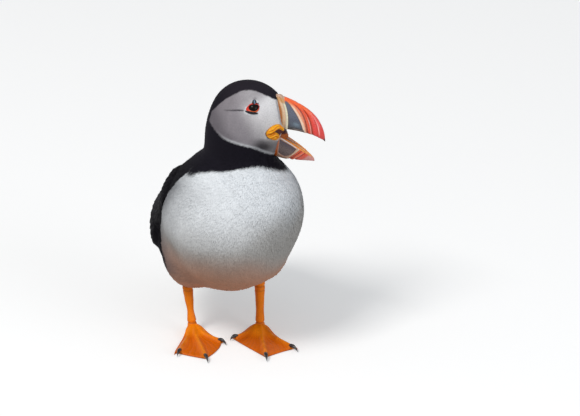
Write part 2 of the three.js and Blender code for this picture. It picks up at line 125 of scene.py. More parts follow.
def bell(x, half):
    """exp(-(x / half) ^ 2): 1 at zero, about a third at half."""
    return np.exp(-(x / half) ** 2)


def ramp(x, stations):
    """A smooth function through (x, y) stations, level at each of them."""
    x = np.asarray(x, float)
    value = np.full(x.shape, float(stations[0][1]))
    for (x0, y0), (x1, y1) in zip(stations[:-1], stations[1:]):
        value = value + (y1 - y0) * smoothstep(x, x0, x1)
    return value


def band(x, low, high, soft):
    """1 between low and high, 0 outside, with soft edges."""
    return smoothstep(x, low - soft, low + soft) * (1 - smoothstep(x, high - soft, high + soft))


def mixed(a, b, share):
    """Colours or points mixed by an array of shares."""
    share = np.asarray(share)[..., None]
    return a * (1 - share) + b * share


def painted(colour, *coats):
    """Lays (hex or linear colour, share) coats over a colour, one after another."""
    for paint, share in coats:
        colour = mixed(colour, srgb(paint) if isinstance(paint, str) else paint, share)
    return colour


# %% Nets, and the faces between their points


def round_grid(rows, columns, low=0.0, high=1.0):
    """t from low to high down the rows, and an angle from 0 to 2 pi round the columns."""
    turn = np.arange(columns) / columns * 2 * np.pi
    return np.meshgrid(np.linspace(low, high, rows), turn, indexing="ij")


def net_faces(rows, columns):
    """Faces of a closed net: one pole, rows - 2 rings of columns points, and one pole."""
    ring = np.arange(columns)
    after = (ring + 1) % columns
    start = 1 + columns * np.arange(rows - 3)[:, None]
    quads = np.stack([start + ring, start + columns + ring, start + columns + after, start + after], -1)
    last = 1 + columns * (rows - 3)
    low = np.stack([np.zeros_like(ring), ring + 1, after + 1], -1)
    high = np.stack([np.full_like(ring, last + columns), last + after, last + ring], -1)
    return [quads.reshape(-1, 4), low, high]


def sheet_faces(rows, columns):
    """Faces of an open grid of rows x columns points."""
    start = columns * np.arange(rows - 1)[:, None]
    step = np.arange(columns - 1)
    return np.stack([start + step, start + step + 1, start + columns + step + 1,
                     start + columns + step], -1).reshape(-1, 4)


def net_points(grid):
    """A (rows, columns, n) array as net points: the first and last rows become single points."""
    return np.concatenate([grid[0, :1], grid[1:-1].reshape(-1, grid.shape[-1]), grid[-1, :1]])


# %% Pieces from arrays


def make_piece(name, points, faces, colours, uv=None):
    """A mesh object from bird millimetres, with a colour and, if given, a place on the chart per point."""
    mesh = bpy.data.meshes.new(name)
    corners = np.concatenate([f.ravel() for f in faces]).astype(np.int32)
    sizes = np.concatenate([np.full(len(f), f.shape[1]) for f in faces]).astype(np.int32)
    starts = np.concatenate([[0], np.cumsum(sizes)[:-1]]).astype(np.int32)
    mesh.vertices.add(len(points))
    mesh.vertices.foreach_set("co", ((points - SHIFT) * MM).astype(np.float32).ravel())
    mesh.loops.add(len(corners))
    mesh.loops.foreach_set("vertex_index", corners)
    mesh.polygons.add(len(sizes))
    mesh.polygons.foreach_set("loop_start", starts)
    mesh.polygons.foreach_set("loop_total", sizes)
    mesh.polygons.foreach_set("use_smooth", np.ones(len(sizes), bool))
    mesh.update(calc_edges=True)
    mesh.validate()
    layer = mesh.color_attributes.new("colour", "FLOAT_COLOR", "POINT")
    rgba = np.concatenate([colours, np.ones((len(colours), 1))], 1).astype(np.float32)
    layer.data.foreach_set("color", rgba.ravel())
    if uv is not None:
        chart = mesh.uv_layers.new(name="OFBake")
        chart.data.foreach_set("uv", uv[corners].astype(np.float32).ravel())
    piece = bpy.data.objects.new(name, mesh)
    bpy.context.scene.collection.objects.link(piece)
    return piece


def outward_net(name, points, rows, columns, colours, **more):
    """A closed net as a piece, with its faces turned to point outwards."""
    faces = net_faces(rows, columns)
    triangles = np.concatenate([faces[0][:, :3], faces[0][:, [0, 2, 3]], faces[1], faces[2]])
    a, b, c = (points[triangles[:, i]] for i in range(3))
    if np.einsum("ij,ij->i", a, np.cross(b, c)).sum() < 0:
        faces = [f[:, ::-1] for f in faces]
    return make_piece(name, points, faces, colours, **more)


def placed(piece, slot, *nodes):
    """Fixes a piece to the bird's one body, and lets it stand for solids of the frame. The slot, a finish's
    name, is not used.
    """
    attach(piece, "root")
    if nodes:
        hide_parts(*nodes)
    return piece


def closed_piece(name, points, colours, slot, *nodes):
    """A (rows, columns, 3) net with a pole at each end, as a piece in its place."""
    rows, columns = points.shape[:2]
    piece = outward_net(name, net_points(points), rows, columns, net_points(colours))
    return placed(piece, slot, *nodes)


def add_node(tree, kind, inputs=None, **settings):
    """Adds a node; inputs maps a socket to a value or to another node's output."""
    node = tree.nodes.new(kind)
    for setting, value in settings.items():
        setattr(node, setting, value)
    for socket, value in (inputs or {}).items():
        if isinstance(value, bpy.types.NodeSocket):
            tree.links.new(value, node.inputs[socket])
        else:
            node.inputs[socket].default_value = value
    return node

# %% [markdown]
# ## The plumage as one field
# A bird's outline is soft: rounded masses that run into each other. The solids were drawn as a
# smooth union of eggs, and the same formula gives the skin here. `plumage` is negative inside and
# positive outside, in millimetres near the surface, so a skin that lies a coat's depth inside the
# outline is simply the level at minus that depth.

# %% Eggs, and their smooth union
# at = forward, left, up; radii = along, side, up; pitch in degrees; taper = growth towards the front
TRUNK_EGGS = [
    ((4, 0, 91.5), (62, 45, 36.5), 45, (0, 0)),  # trunk
    ((25, 0, 97), (41, 43.5, 36.5), 50, (0, 0)),  # breast
    ((17, 0, 71.5), (44.5, 36, 29.5), 30, (0, 0)),  # belly
    ((-31, 0, 72.5), (47, 31, 18), 28, (0.25, 0.25)),  # rump
    ((-32, 0, 59), (34, 24, 17), 22, (0.3, 0.2)),  # vent
    ((9, 0, 108), (25, 35, 31.5), 60, (0, 0)),  # mantle
    ((-8, 24.5, 57.5), (20, 18, 22.5), 20, (0, 0)),  # left thigh
    ((-8, -24.5, 57.5), (20, 18, 22.5), 20, (0, 0)),  # right thigh
]
NECK_EGG = ((20, 3, 149.5), (34, 22, 26.5), 84, (0, 0))
HEAD_EGGS = [
    ((0, 0, 0), (22, 19.5, 20), -4, (0, 0)),  # skull
    ((13, 0, -8.5), (24, 12, 17), -10, (-0.35, -0.15)),  # face
    ((11, 0, -16), (18.5, 11, 10.5), -9, (-0.3, 0)),  # jaw
]
FOREHEAD, GAPE, CHIN = (18.2, 12.4), (22.3, -9), (14.5, -27)  # the face's front, forward and up
TRUNK_SOFT, HEAD_SOFT = 4, 3  # mm over which the eggs of each run into one another


def egg(points, shape, axes, origin, turn):
    """Distance to an egg: |q| (|q| - 1) / |q / r| for the point q scaled by the radii r."""
    at, (along, side, up), pitch, taper = shape
    local = (points - (origin + np.array(at, float) @ axes)) @ axes_of(turn, pitch).T
    f = local[..., 0] / along
    s = local[..., 1] / (side * np.maximum(1 + taper[0] * f, 0.35))
    u = local[..., 2] / (up * np.maximum(1 + taper[1] * f, 0.35))
    size = np.sqrt(f * f + s * s + u * u)
    slope = np.sqrt((f / along) ** 2 + (s / side) ** 2 + (u / up) ** 2)
    return size * (size - 1) / np.maximum(slope, 1e-9)


def blend(values, softness):
    """Smooth minimum: -k log(sum exp(-x / k))."""
    values = np.stack(values)
    least = values.min(0)
    return least - softness * np.log(np.exp((least - values) / softness).sum(0))


def face_plane(points, low, high):
    """Distance in front of the plane through two points of the head's profile."""
    run = np.hypot(high[0] - low[0], high[1] - low[1])
    normal = np.array([(low[1] - high[1]) / run, 0, (high[0] - low[0]) / run]) @ HEAD
    return (points - on_head([low[0], 0, low[1]])) @ normal


def plumage(points):
    """The whole body's field at an array of points, in bird millimetres."""
    zero = np.zeros(3)
    trunk = blend([egg(points, e, TRUNK, zero, TRUNK_TURN) for e in TRUNK_EGGS], TRUNK_SOFT)
    head = blend([egg(points, e, HEAD, SKULL, HEAD_TURN) for e in HEAD_EGGS], HEAD_SOFT)
    front = np.maximum(face_plane(points, FOREHEAD, GAPE), face_plane(points, GAPE, CHIN))
    neck = egg(points, NECK_EGG, TRUNK, zero, TRUNK_TURN)
    return blend([trunk, blend([neck, np.maximum(head, front)], HEAD_SOFT)], TRUNK_SOFT)


def unit(vectors):
    """Vectors of length one."""
    return vectors / np.maximum(np.linalg.norm(vectors, axis=-1, keepdims=True), 1e-9)


def slope_of(points):
    """Unit normals of the plumage field, by central differences of 0.2 mm."""
    steps = np.eye(3) * 0.1
    return unit(np.stack([plumage(points + s) - plumage(points - s) for s in steps], -1))


def walk_out(origins, directions, inside, farthest=90.0, stride=2.0, halvings=11):
    """The distance along each ray at which inside(points, rays) turns false, halved to 0.001 mm."""
    near = np.zeros(len(origins))
    walking = np.arange(len(origins))
    while len(walking):
        there = origins[walking] + directions[walking] * (near[walking] + stride)[:, None]
        walking = walking[inside(there, walking) & (near[walking] < farthest)]
        near[walking] += stride
    far = near + stride
    everyone = np.arange(len(origins))
    for _ in range(halvings):
        middle = (near + far) / 2
        still = inside(origins + directions * middle[:, None], everyone)
        near = np.where(still, middle, near)
        far = np.where(still, far, middle)
    return (near + far) / 2


# %% [markdown]
# ## A net over the whole body
# One surface has to carry skin and feathers from the rump to the bill, and the feathers should lie
# along it. So rays leave a bent spine, ring after ring, and stop at the field. The spine runs up
# the trunk, and bends round a pivot under the chin so that the rings fan out over the nape. `v`
# counts along the spine from rump to face and `u` goes round it, starting at the back. Feathers
# point down v, and (u, v) is also the flat chart on which each feather finds its place.

# %% The spine and its rings
SPINE_KNOTS = [((-56, 60), 26), ((-34, 68), 34), ((-8, 80), 46), ((12, 98), 64), ((20, 118), 82)]
THROAT_PIVOT = (34, -30)  # forward and up from the middle of the skull
ARC_RADIUS = 30
BEND = 62  # degrees round the pivot, from the neck to the face
CAP = 0.16  # how much of v each rounded end takes
# the knots' places, and the way the spine looks at each
knot_at = [on_trunk([f, 0, u]) for (f, u), _ in SPINE_KNOTS]
knot_aim = [axes_of(TRUNK_TURN, pitch)[0] for _, pitch in SPINE_KNOTS]
for bend in np.linspace(0, BEND, 6):
    c, s = np.cos(np.radians(bend)), np.sin(np.radians(bend))
    knot_at.append(on_head([THROAT_PIVOT[0] - ARC_RADIUS * c, 0, THROAT_PIVOT[1] + ARC_RADIUS * s]))
    knot_aim.append(axes_of(HEAD_TURN, 90 - bend)[0])
knot_at, knot_aim = np.array(knot_at), np.array(knot_aim)


def through_knots(knots, t):
    """Catmull-Rom curve through evenly numbered knots, t from 0 to 1."""
    padded = np.concatenate([[2 * knots[0] - knots[1]], knots, [2 * knots[-1] - knots[-2]]])
    place = np.clip(t, 0, 1) * (len(knots) - 1)
    i = np.minimum(place.astype(int), len(knots) - 2)
    x = (place - i)[..., None]
    a, b, c, d = (padded[i + j] for j in range(4))
    return 0.5 * (2 * b + (c - a) * x + (2 * a - 5 * b + 4 * c - d) * x ** 2
                  + (3 * b - a - 3 * c + d) * x ** 3)


def rays(v, u):
    """Origins and directions of the rays at v along the body and u (0 to 1) round it."""
    q = v * (1 + 2 * CAP) - CAP
    t = np.clip(q, 0, 1)
    lean = (np.minimum(q, 0) + np.maximum(q - 1, 0)) / CAP * np.pi / 2
    aim = unit(through_knots(knot_aim, t))
    turned = ramp(t, [(0.3, 0), (0.75, 1)])
    side = mixed(TRUNK[1], HEAD[1], turned)
    side = unit(side - aim * (side * aim).sum(-1, keepdims=True))
    top = np.cross(aim, side)
    angle = (2 * np.pi * u)[..., None]
    lean = lean[..., None]
    direction = (top * np.cos(angle) + side * np.sin(angle)) * np.cos(lean) + aim * np.sin(lean)
    return through_knots(knot_at, t), direction


# %% The coat's level and the skin's level
ROWS, COLUMNS = 260, 180
grid_v, grid_u = np.meshgrid(np.linspace(0, 1, ROWS), np.arange(COLUMNS) / COLUMNS, indexing="ij")
ray_at, ray_to = rays(grid_v.ravel(), grid_u.ravel())


def coat_depth(v):
    """How deep the feathers are: full on the trunk, thin on the face, in millimetres."""
    return ramp(v, [(0.1, 3.0), (0.3, 3.6), (0.46, 3.0), (0.56, 1.9), (0.7, 1.2), (0.9, 0.9)])


def on_chart(places):
    """(u, v) with a margin of a hundredth on every side of the chart."""
    return places * 0.98 + 0.01


def level_grid(depth):
    """The net's points at a level of the field, as a (ROWS, COLUMNS, 3) array."""
    depth = np.broadcast_to(depth, grid_v.shape).ravel()
    out = walk_out(ray_at, ray_to, lambda points, who: plumage(points) < -depth[who])
    return (ray_at + ray_to * out[:, None]).reshape(ROWS, COLUMNS, 3)


coat_grid = level_grid(0.0)
skin_grid = level_grid(coat_depth(grid_v))
print("coat and skin nets:", coat_grid.shape, "skin height mm:", round(float(np.ptp(skin_grid[..., 2])), 1))

# %% [markdown]
# ## Markings
# A puffin is soot black above with a black collar, white below, and has a pale grey face that fades
# to smoke at the nape. The marking is one function of place, so that skin and feathers agree: each
# row of a feather takes the colour of the place that it covers, give or take a chance shift, which
# makes the borders ragged, as they are on a bird. A few sine waves in odd directions serve as
# noise, the same on every run.

# %% Colours and borders of the plumage
SOOT, CROWN, COLLAR = srgb("#0b0a0f"), srgb("#2a262d"), srgb("#1a1820")
# the bluish white on the left side is painted cool shade, and the shaded belly colour is painted shade
WHITE, COOL_SHADE, SHADED_BELLY = srgb("#eef2f6"), srgb("#a9b6c2"), srgb("#b1aea9")
GREY_FLANK_AND_SHADE, WARM_BOUNCE = srgb("#5c5c63"), srgb("#d6a084")  # painted warm light bounced from the ground, with painted shade, on the low belly; the grey by the border is partly real, partly painted shade
CHEEK_FRONT, CHEEK, CHEEK_REAR = srgb("#e8e6e8"), srgb("#9c979d"), srgb("#7a757c")
# the palest grey at the face's front by the bill is painted light, where the face turns away from the lamp
BROW, FRONT_PAINTED_LIGHT, PALE_RIM = srgb("#928c91"), srgb("#f2f1f2"), srgb("#dadde2")
SMOKE, SMUDGE, FOLD_DARK = srgb("#5a565b"), srgb("#29262b"), srgb("#2b272f")
# the grey face's upper and lower border, forward and up on the head
FACE_TOP = [(-26.5, -3.5), (-23, 3), (-15, 12.3), (-5, 17.8), (1, 18.6), (8, 16.8), (14, 13.6), (20, 9.5)]
FACE_FOOT = [(-26.5, -5), (-16, -12), (-3, -15), (5, -17.5), (12, -23), (18, -28)]
FACE_REAR = -27  # how far back the face reaches
# the border of the black upper side: height, and how far forward it comes
WING_LINE = [(36, -90), (41, -50), (44, -16), (50, -4), (56, -4), (63, -10), (72, -12.5), (84, -10.5),
             (92, -5), (100, 2.5), (108, 9.5), (114, 13.5), (120, 17), (128, 21)]
# the collar's lower edge: left, and height
COLLAR_LINE = [(-46, 120), (-42, 122), (-39, 124.2), (-36, 126.4), (-31, 130.3), (-27.6, 132.9),
               (-22, 135.4), (-10, 138), (-3, 139.6), (2, 140), (9, 139.4), (16, 136.8), (23, 133.4),
               (35, 127), (45, 118)]
NECK_UP = 150  # mm over the floor, above which the crown's colour may show

# %% Marks round the eye, forward and up on the head
EYE_SEAT = np.array([3.9, 14.4, 8.0])  # the middle of the left eyeball that shows
OPENING_AT = (4.3, 9.6)  # the middle of the eyelids' opening
# a capsule is two places and the half widths there
SPIKE = ((4.45, 12.3), (4.4, 12.45), 1.5, 1.3)  # horny plate above
BAR = ((-0.5, 7.65), (6.3, 6.15), 0.72, 0.9)  # horny plate below
RING_REACH = ((-0.2, 8.6), (4.6, 9.6), 0.7, 3.1)  # the red ring
CREASE = [(-16, 6.1), (-10, 7.2), (-6, 7.9), (-2.4, 8.0)]  # the fold behind the eye
CREASE_HALF = 0.46


def capsule_distance(a, b, capsule):
    """Distance in the side view to a capsule between two places with two half widths."""
    (a0, b0), (a1, b1), r0, r1 = capsule
    run = (a1 - a0) ** 2 + (b1 - b0) ** 2
    share = np.clip(((a - a0) * (a1 - a0) + (b - b0) * (b1 - b0)) / run, 0, 1)
    return np.hypot(a - a0 - share * (a1 - a0), b - b0 - share * (b1 - b0)) - r0 - (r1 - r0) * share


# %% The colour of the plumage at any place


def wander(points, size, seed):
    """Smooth noise from -1 to 1: sines along five odd directions, of about size mm."""
    turns = np.random.default_rng(seed).normal(size=(5, 3))
    phases = points @ (turns.T * (2 * np.pi / size / 1.7)) + np.arange(5) * 1.3
    return np.sin(phases).sum(-1) / 2.6


def bent(x, stations, soft):
    """The line through the stations with its corners rounded: a mean of three shifted readings."""
    return (through(x - soft, stations) + 2 * through(x, stations) + through(x + soft, stations)) / 4


def trunk_marking(points):
    """Soot above and white below. On the white: painted cool shade on the left side, painted shade and
    warm bounce light low on the belly, and grey by the black border, partly real and partly painted shade.

    Returns the colours, and the heights over the floor. f, l, u are forward, left and up.
    """
    f, l, u = np.moveaxis(points @ TRUNK.T, -1, 0)
    ragged = 0.55 * wander(points, 7, 3) + 0.3 * wander(points, 2.6, 4)
    behind = f - through(u, WING_LINE) + 1.5 * ragged
    under_collar = through(l, COLLAR_LINE) - u + 0.4 * ragged
    white = smoothstep(np.minimum(behind, under_collar), -0.5, 0.5)
    # flank: grey by the black border, partly the real grey of dark feathers there and partly painted shade,
    # stronger on the right side
    flank = ramp(behind, [(0, 0.75), (22, 0.22), (42, 0)])
    flank = flank * ramp(l, [(-15, 1), (15, 0.35)]) * smoothstep(u, 134, 118)
    # shaded: painted shade, darker low on the belly and towards the left side
    shaded = smoothstep(u - 0.3 * l + 3 * wander(points, 30, 6), 114, 78)
    # low: painted warm bounce light and shade on the low belly
    low = smoothstep(u + 0.3 * np.maximum(l, 0) - 0.12 * f + 2 * wander(points, 24, 7), 82, 50)
    # the blue band on the left side is painted cool shade
    under = painted(WHITE, (COOL_SHADE, 0.7 * band(l, 18, 60, 12) * smoothstep(u, 120, 85)),
                    (SHADED_BELLY, 0.85 * shaded), (WARM_BOUNCE, 0.9 * low), (GREY_FLANK_AND_SHADE, flank))
    return mixed(mixed(SOOT, COLLAR, smoothstep(u, 120, 138)), under, white), u


def face_grey(a, b, foot):
    """Grey of the face, forward a and up b on the head, with the marks that lie on it."""
    smudge = np.exp(-(((a - 10.2) / 6.0) ** 2 + ((b + 17.8 + 0.35 * (a - 10)) / 3.0) ** 2))
    crease = smoothstep(np.abs(b - through(a, CREASE)) / CREASE_HALF, 1.2, 0.3)
    crease = crease * band(a, -15, -2.2, 1) * ramp(a, [(-15, 0.5), (-6, 1)])
    by_eye = np.minimum(capsule_distance(a, b, RING_REACH), capsule_distance(a, b, SPIKE))
    under_bar = capsule_distance(a, b + 0.4, BAR)
    over_spike = bell(a - 4.7, 1.2) * band(b, 13.4, 15.0, 0.6)
    grey = mixed(CHEEK_REAR, CHEEK, smoothstep(a + 0.35 * b, -24, -8))
    return painted(
        grey,
        (CHEEK_FRONT, smoothstep(a + 0.5 * b, -6, 13)),
        (BROW, 0.7 * smoothstep(b - 0.3 * a, 7, 15)),
        # painted light on the face's front by the bill
        (FRONT_PAINTED_LIGHT, 0.6 * smoothstep(a, 9, 16)),
        (CHEEK_REAR, 0.6 * (smoothstep(b - foot, 8, 2.5) * smoothstep(a, 2, -14))),
        (SMOKE, 0.72 * smoothstep(a, 2, 10) * smoothstep(b + 0.3 * a, -7.5, -11.5)),  # the jaw
        (SMUDGE, np.clip(0.85 * smudge, 0, 0.75)),  # at the chin
        (PALE_RIM, 0.75 * (smoothstep(b - foot, 1.9, 0.9) * smoothstep(a, -22, -10))),
        (FOLD_DARK, crease),
        (WHITE, 0.75 * smoothstep(by_eye, 1.15, 0.4) * smoothstep(b, 14.3, 12.8)),
        (WHITE, 0.5 * smoothstep(under_bar, 0.9, 0.3)),
        (SMOKE, 0.45 * over_spike))


def marking(points):
    """Linear colours of the plumage: the trunk's, then the crown's sheen, then the face's.

    a, c, b are forward, left and up on the head.
    """
    colour, u = trunk_marking(points)
    a, c, b = np.moveaxis((points - SKULL) @ HEAD.T, -1, 0)
    crown = smoothstep(b, 2, 16) * smoothstep(a, -28, -8)
    colour = mixed(colour, CROWN, np.clip(crown + 0.35 * smoothstep(a, 8, 18), 0, 1) * (u > NECK_UP))
    top, foot = bent(a, FACE_TOP, 3.5), bent(a, FACE_FOOT, 3)
    edge = np.minimum(top - b, b - foot) + 0.12 * wander(points, 2.5, 5)
    nape = ramp(a, [(-24, 4.4), (-8, 2.2)])  # half width of the black band down the nape
    edge = np.minimum(edge, (np.abs(c) - nape) * 1.2)
    on_face = smoothstep(edge, -0.35, 0.35) * (a > FACE_REAR)
    return mixed(colour, face_grey(a, b, foot), on_face)


# %% [markdown]
# ## The skin
# The skin is a closed net at the level of the feathers' roots. It shows only as a soft ground
# between them, so it takes the same markings, a little darker, as down is under a bird's coat.

# %% One skin for head, neck, breast and back
skin_points = net_points(skin_grid)
skin_chart = on_chart(net_points(np.stack([grid_u, grid_v], -1)))
# the skin is painted dark red where the corner of the mouth opens, as shade inside the mouth: forward, left
# and up on the head
a, c, b = np.moveaxis((skin_points - SKULL) @ HEAD.T, -1, 0)
gape_shade = smoothstep(np.hypot((a - 18.5) / 4.0, (b + 8.9) / 3.0), 1.05, 0.95) * (np.abs(c) > 5)
skin_colours = painted(0.8 * marking(net_points(coat_grid)), ("#340c08", gape_shade))
skin = outward_net("skin", skin_points, ROWS, COLUMNS, skin_colours, uv=skin_chart)
placed(skin, "white_plumage", "head", "neck", "breast", "back")
print("skin:", len(skin.data.polygons), "faces")

# %% [markdown]
# ## The coat
# More than a hundred thousand small feathers lie over the skin like shingles. Each is a vane of
# eight triangles: it leaves the skin, rises steeply in its first third, where the next feathers
# hide it, and then slowly, tail-wards, to the coat's outer level at its tip. Blender could scatter
# instances, but a joined mesh made from arrays keeps every vane's own colour and its own little
# patch on the (u, v) chart. Roots are picked in proportion to the skin's real area, so that crowded
# and stretched parts of the net don't show, and a feather's size follows its place: tiny on the
# face, longest on breast, belly and back.

# %% Sampling the nets between their points


def sample(grid, v, u):
    """Bilinear reading of a (ROWS, COLUMNS, n) net at v and u, with u going round."""
    x = np.clip(v, 0, 1) * (ROWS - 1)
    i = np.minimum(x.astype(int), ROWS - 2)
    y = (u % 1) * COLUMNS
    j = y.astype(int) % COLUMNS
    k = (j + 1) % COLUMNS
    x, y = (x - i)[..., None], (y - np.floor(y))[..., None]
    low = grid[i, j] * (1 - y) + grid[i, k] * y
    high = grid[i + 1, j] * (1 - y) + grid[i + 1, k] * y
    return low * (1 - x) + high * x


per_v = np.gradient(coat_grid, 1 / (ROWS - 1), axis=0)  # mm along the body for one unit of v
per_u = (np.roll(coat_grid, -1, 1) - np.roll(coat_grid, 1, 1)) * COLUMNS / 2
normals = unit(np.cross(per_u, per_v))
if (normals * (coat_grid - skin_grid)).sum() < 0:
    normals = -normals
speed = np.maximum(np.linalg.norm(per_v, axis=-1, keepdims=True), 8)
area = np.linalg.norm(np.cross(per_u, per_v), axis=-1)
print("coat area, square mm:", round(float(area.mean())))


def scatter(count, weight, seed):
    """v and u of count roots, as dense as weight x area: even steps up the summed weight."""
    dice = np.random.default_rng(seed)
    mass = np.cumsum((area * weight).ravel())
    steps = (np.arange(count) + dice.random(count)) / count * mass[-1]
    cell = np.searchsorted(mass, steps).clip(0, area.size - 1)
    v = (cell // COLUMNS + dice.random(count) - 0.5) / (ROWS - 1)
    u = (cell % COLUMNS + dice.random(count) - 0.5) / COLUMNS
    return np.clip(v, 0.004, 0.996), u % 1, dice


# %% Building vanes along paths
VANE_FACES = np.array([[0, 1, 2], [0, 2, 3], [1, 4, 5], [1, 5, 2], [2, 5, 6], [2, 6, 3],
                       [4, 7, 5], [5, 7, 6]])
# for each of a vane's 8 points: its row of the path, its tone, which is painted shade, darkest at the root
# under the next feathers, and its place on the chart
VANE_ROWS = np.array([0, 1, 1, 1, 2, 2, 2, 3])
VANE_SHADING = np.array([0.85, 0.96, 0.97, 0.96, 0.99, 1.01, 0.99, 1.02])
VANE_ACROSS = np.array([0, -1, 0, 1, -0.8, 0, 0.8, 0]) * 0.0014
VANE_DOWN = np.array([0, 0.35, 0.35, 0.35, 0.75, 0.75, 0.75, 1]) * -0.0028
SILK = 0.9  # share of the smooth coat's normal in a vane's shading; the rest is the vane's own


def vanes(path, normal, width, colour, chart, camber=0.06):
    """Eight triangles for each feather, from four path points: root, two rows of three, tip.

    path, normal and colour are (n, 4, 3), width is (n,) and chart is the root's (u, v). A row's
    outer points lie half a width to the side, and camber x width under the row's middle.
    Returns points, faces, colours, places on the chart and the coat's normals.
    """
    along = unit(path[:, 3] - path[:, 0])
    points = np.empty((len(path), 8, 3))
    points[:, 0], points[:, 7] = path[:, 0], path[:, 3]
    for row, share in ((1, 1.0), (2, 0.82)):
        side = unit(np.cross(normal[:, row], along))
        half = side * (0.5 * share * width)[:, None]
        sunk = normal[:, row] * (camber * share * width)[:, None]
        first = 1 if row == 1 else 4
        points[:, first] = path[:, row] - half - sunk
        points[:, first + 1] = path[:, row]
        points[:, first + 2] = path[:, row] + half - sunk
    colours = colour[:, VANE_ROWS] * VANE_SHADING[None, :, None]
    uv = on_chart(chart[:, None, :]) + np.stack([VANE_ACROSS, VANE_DOWN], -1)
    faces = VANE_FACES[None] + 8 * np.arange(len(path))[:, None, None]
    smooth = normal[:, VANE_ROWS]
    return (points.reshape(-1, 3), faces.reshape(-1, 3), colours.reshape(-1, 3), uv.reshape(-1, 2),
            smooth.reshape(-1, 3))


def shade_smoothly(piece, smooth):
    """Mixes each point's own normal with the coat's, because fine barbs hide a vane's step."""
    own = np.empty(len(smooth) * 3, np.float32)
    piece.data.vertex_normals.foreach_get("vector", own)
    own = own.reshape(-1, 3)
    own = own * np.where((own * smooth).sum(1) < 0, -1, 1)[:, None]
    shading = unit(mixed(own, smooth, np.full(len(own), SILK)))
    piece.data.normals_split_custom_set_from_vertices(shading.tolist())


# %% Where body feathers grow, and how long they are
BILL_HALF = [(-30, 2.5), (-16, 6.2), (-10, 7.2), (-2, 6.4), (12, 2.8)]  # the bill's root: up, half width


def bare(points):
    """True where no feather is rooted: the bill's root and mouth, the eye and the gape's skin."""
    a, c, b = np.moveaxis((points - SKULL) @ HEAD.T, -1, 0)
    at_bill = (a > 11) & (np.abs(c) < through(b, BILL_HALF)) & (b < 12.6) & (b > -29)
    at_eye = ((a - OPENING_AT[0] - 1.1) / 4.2) ** 2 + ((b - OPENING_AT[1] - 0.2) / 3.0) ** 2 < 1
    at_gape = ((a - 16.8) / 4.7) ** 2 + ((b + 8.6) / 4.6) ** 2 < 1
    return at_bill | ((at_eye | at_gape) & (np.abs(c) > 6))


def feather_length(v):
    """Millimetres from root to tip: longest on the belly, shortest on the face."""
    return ramp(v, [(0.0, 8.0), (0.2, 10.0), (0.42, 9.0), (0.5, 6.5), (0.62, 3.8), (0.75, 2.6), (0.9, 2.0)])


def feather_width(v):
    """Millimetres across the widest row."""
    return ramp(v, [(0.0, 3.0), (0.3, 2.2), (0.45, 1.9), (0.55, 1.4), (0.7, 0.9), (0.9, 0.75)])


def swell(points):
    """Soft waves of the coat, longer down the body than across it, in millimetres."""
    stretched = points * [1, 1, 0.4]
    return 0.36 * wander(stretched, 19, 21) + 0.07 * wander(stretched, 6, 22)


# %% Growing the feathers
# a vane's four rows: how far along the feather, and how far up from the skin to the coat's level
VANE_RISE = [(0, -0.05), (0.3, 0.68), (0.68, 0.9), (1.0, 1.0)]


def body_feathers(count, low, high, seed):
    """Vanes between v = low and high, from paths that step down v as they rise to the coat's level.

    Each feather differs by chance in length, width, heading and height, and takes its colours from
    the places under its rows, moved along it by up to a few hundredths of its length.
    """
    weight = ((grid_v >= low) & (grid_v < high)) / feather_width(grid_v)
    v, u, dice = scatter(count, weight, seed)
    keep = ~bare(sample(coat_grid, v, u))
    v, u = v[keep], u[keep]
    n = len(v)
    length = feather_length(v) * dice.uniform(0.8, 1.15, n)
    width = feather_width(v) * dice.uniform(0.8, 1.2, n)
    reach_u = np.maximum(np.linalg.norm(sample(per_u, v, u), axis=-1), 4)
    swing = dice.normal(0, 0.10, n)
    lift = 1 - np.abs(dice.normal(0, 0.05, n))
    depth = np.maximum(coat_depth(v), 0.5)
    waves = (swell(sample(coat_grid, v, u)) - 0.35) / depth * smoothstep(v, 0.7, 0.5)
    path, normal, over = (np.empty((n, 4, 3)) for _ in range(3))
    v_row, done = v, 0.0
    for row, (s, rise) in enumerate(VANE_RISE):
        v_half = v_row - 0.5 * (s - done) * length / sample(speed, v_row, u)[:, 0]
        v_row = np.maximum(v_row - (s - done) * length / sample(speed, v_half, u)[:, 0], 0)
        done = s
        u_row = u + s * length * swing / reach_u
        height = np.clip(rise * (lift + waves) + 0.04 * s * dice.normal(0, 1, n), -0.05, 1.05)
        over[:, row] = sample(coat_grid, v_row, u_row)
        path[:, row] = mixed(sample(skin_grid, v_row, u_row), over[:, row], height)
        normal[:, row] = unit(sample(normals, v_row, u_row))
    carried = unit(path[:, 3] - path[:, 0]) * (0.03 * length * dice.normal(0, 1, n))[:, None]
    colour = marking(over - carried[:, None])
    streak = 1 + 0.025 * wander(path[:, 0] * [1, 1, 0.25], 3.5, 31)
    colour = colour * (streak * dice.uniform(0.97, 1.03, n))[:, None, None]
    return vanes(path, normal, width, colour, np.stack([u, v], -1))


# %% The coat in eight pieces
# name, feathers, from v, to v, finish
coat_parts = [
    ("coat_rump", 20000, 0.0, 0.2, "white_plumage"),
    ("coat_belly_low", 18000, 0.2, 0.27, "white_plumage"),
    ("coat_belly", 22000, 0.27, 0.35, "white_plumage"),
    ("coat_breast_low", 20000, 0.35, 0.42, "white_plumage"),
    ("coat_breast", 20000, 0.42, 0.5, "white_plumage"),
    ("coat_neck", 18000, 0.5, 0.62, "black_plumage"),
    ("coat_cheeks", 23000, 0.62, 0.78, "face_plumage"),
    ("coat_face", 23000, 0.78, 1.01, "face_plumage"),
]
coat = []
for number, (name, count, low, high, slot) in enumerate(coat_parts):
    points, faces, colours, chart, smooth = body_feathers(count, low, high, 11 + number)
    piece = make_piece(name, points, [faces], colours, uv=chart)
    shade_smoothly(piece, smooth)
    coat.append(placed(piece, slot))
    print(name, len(faces), "triangles")

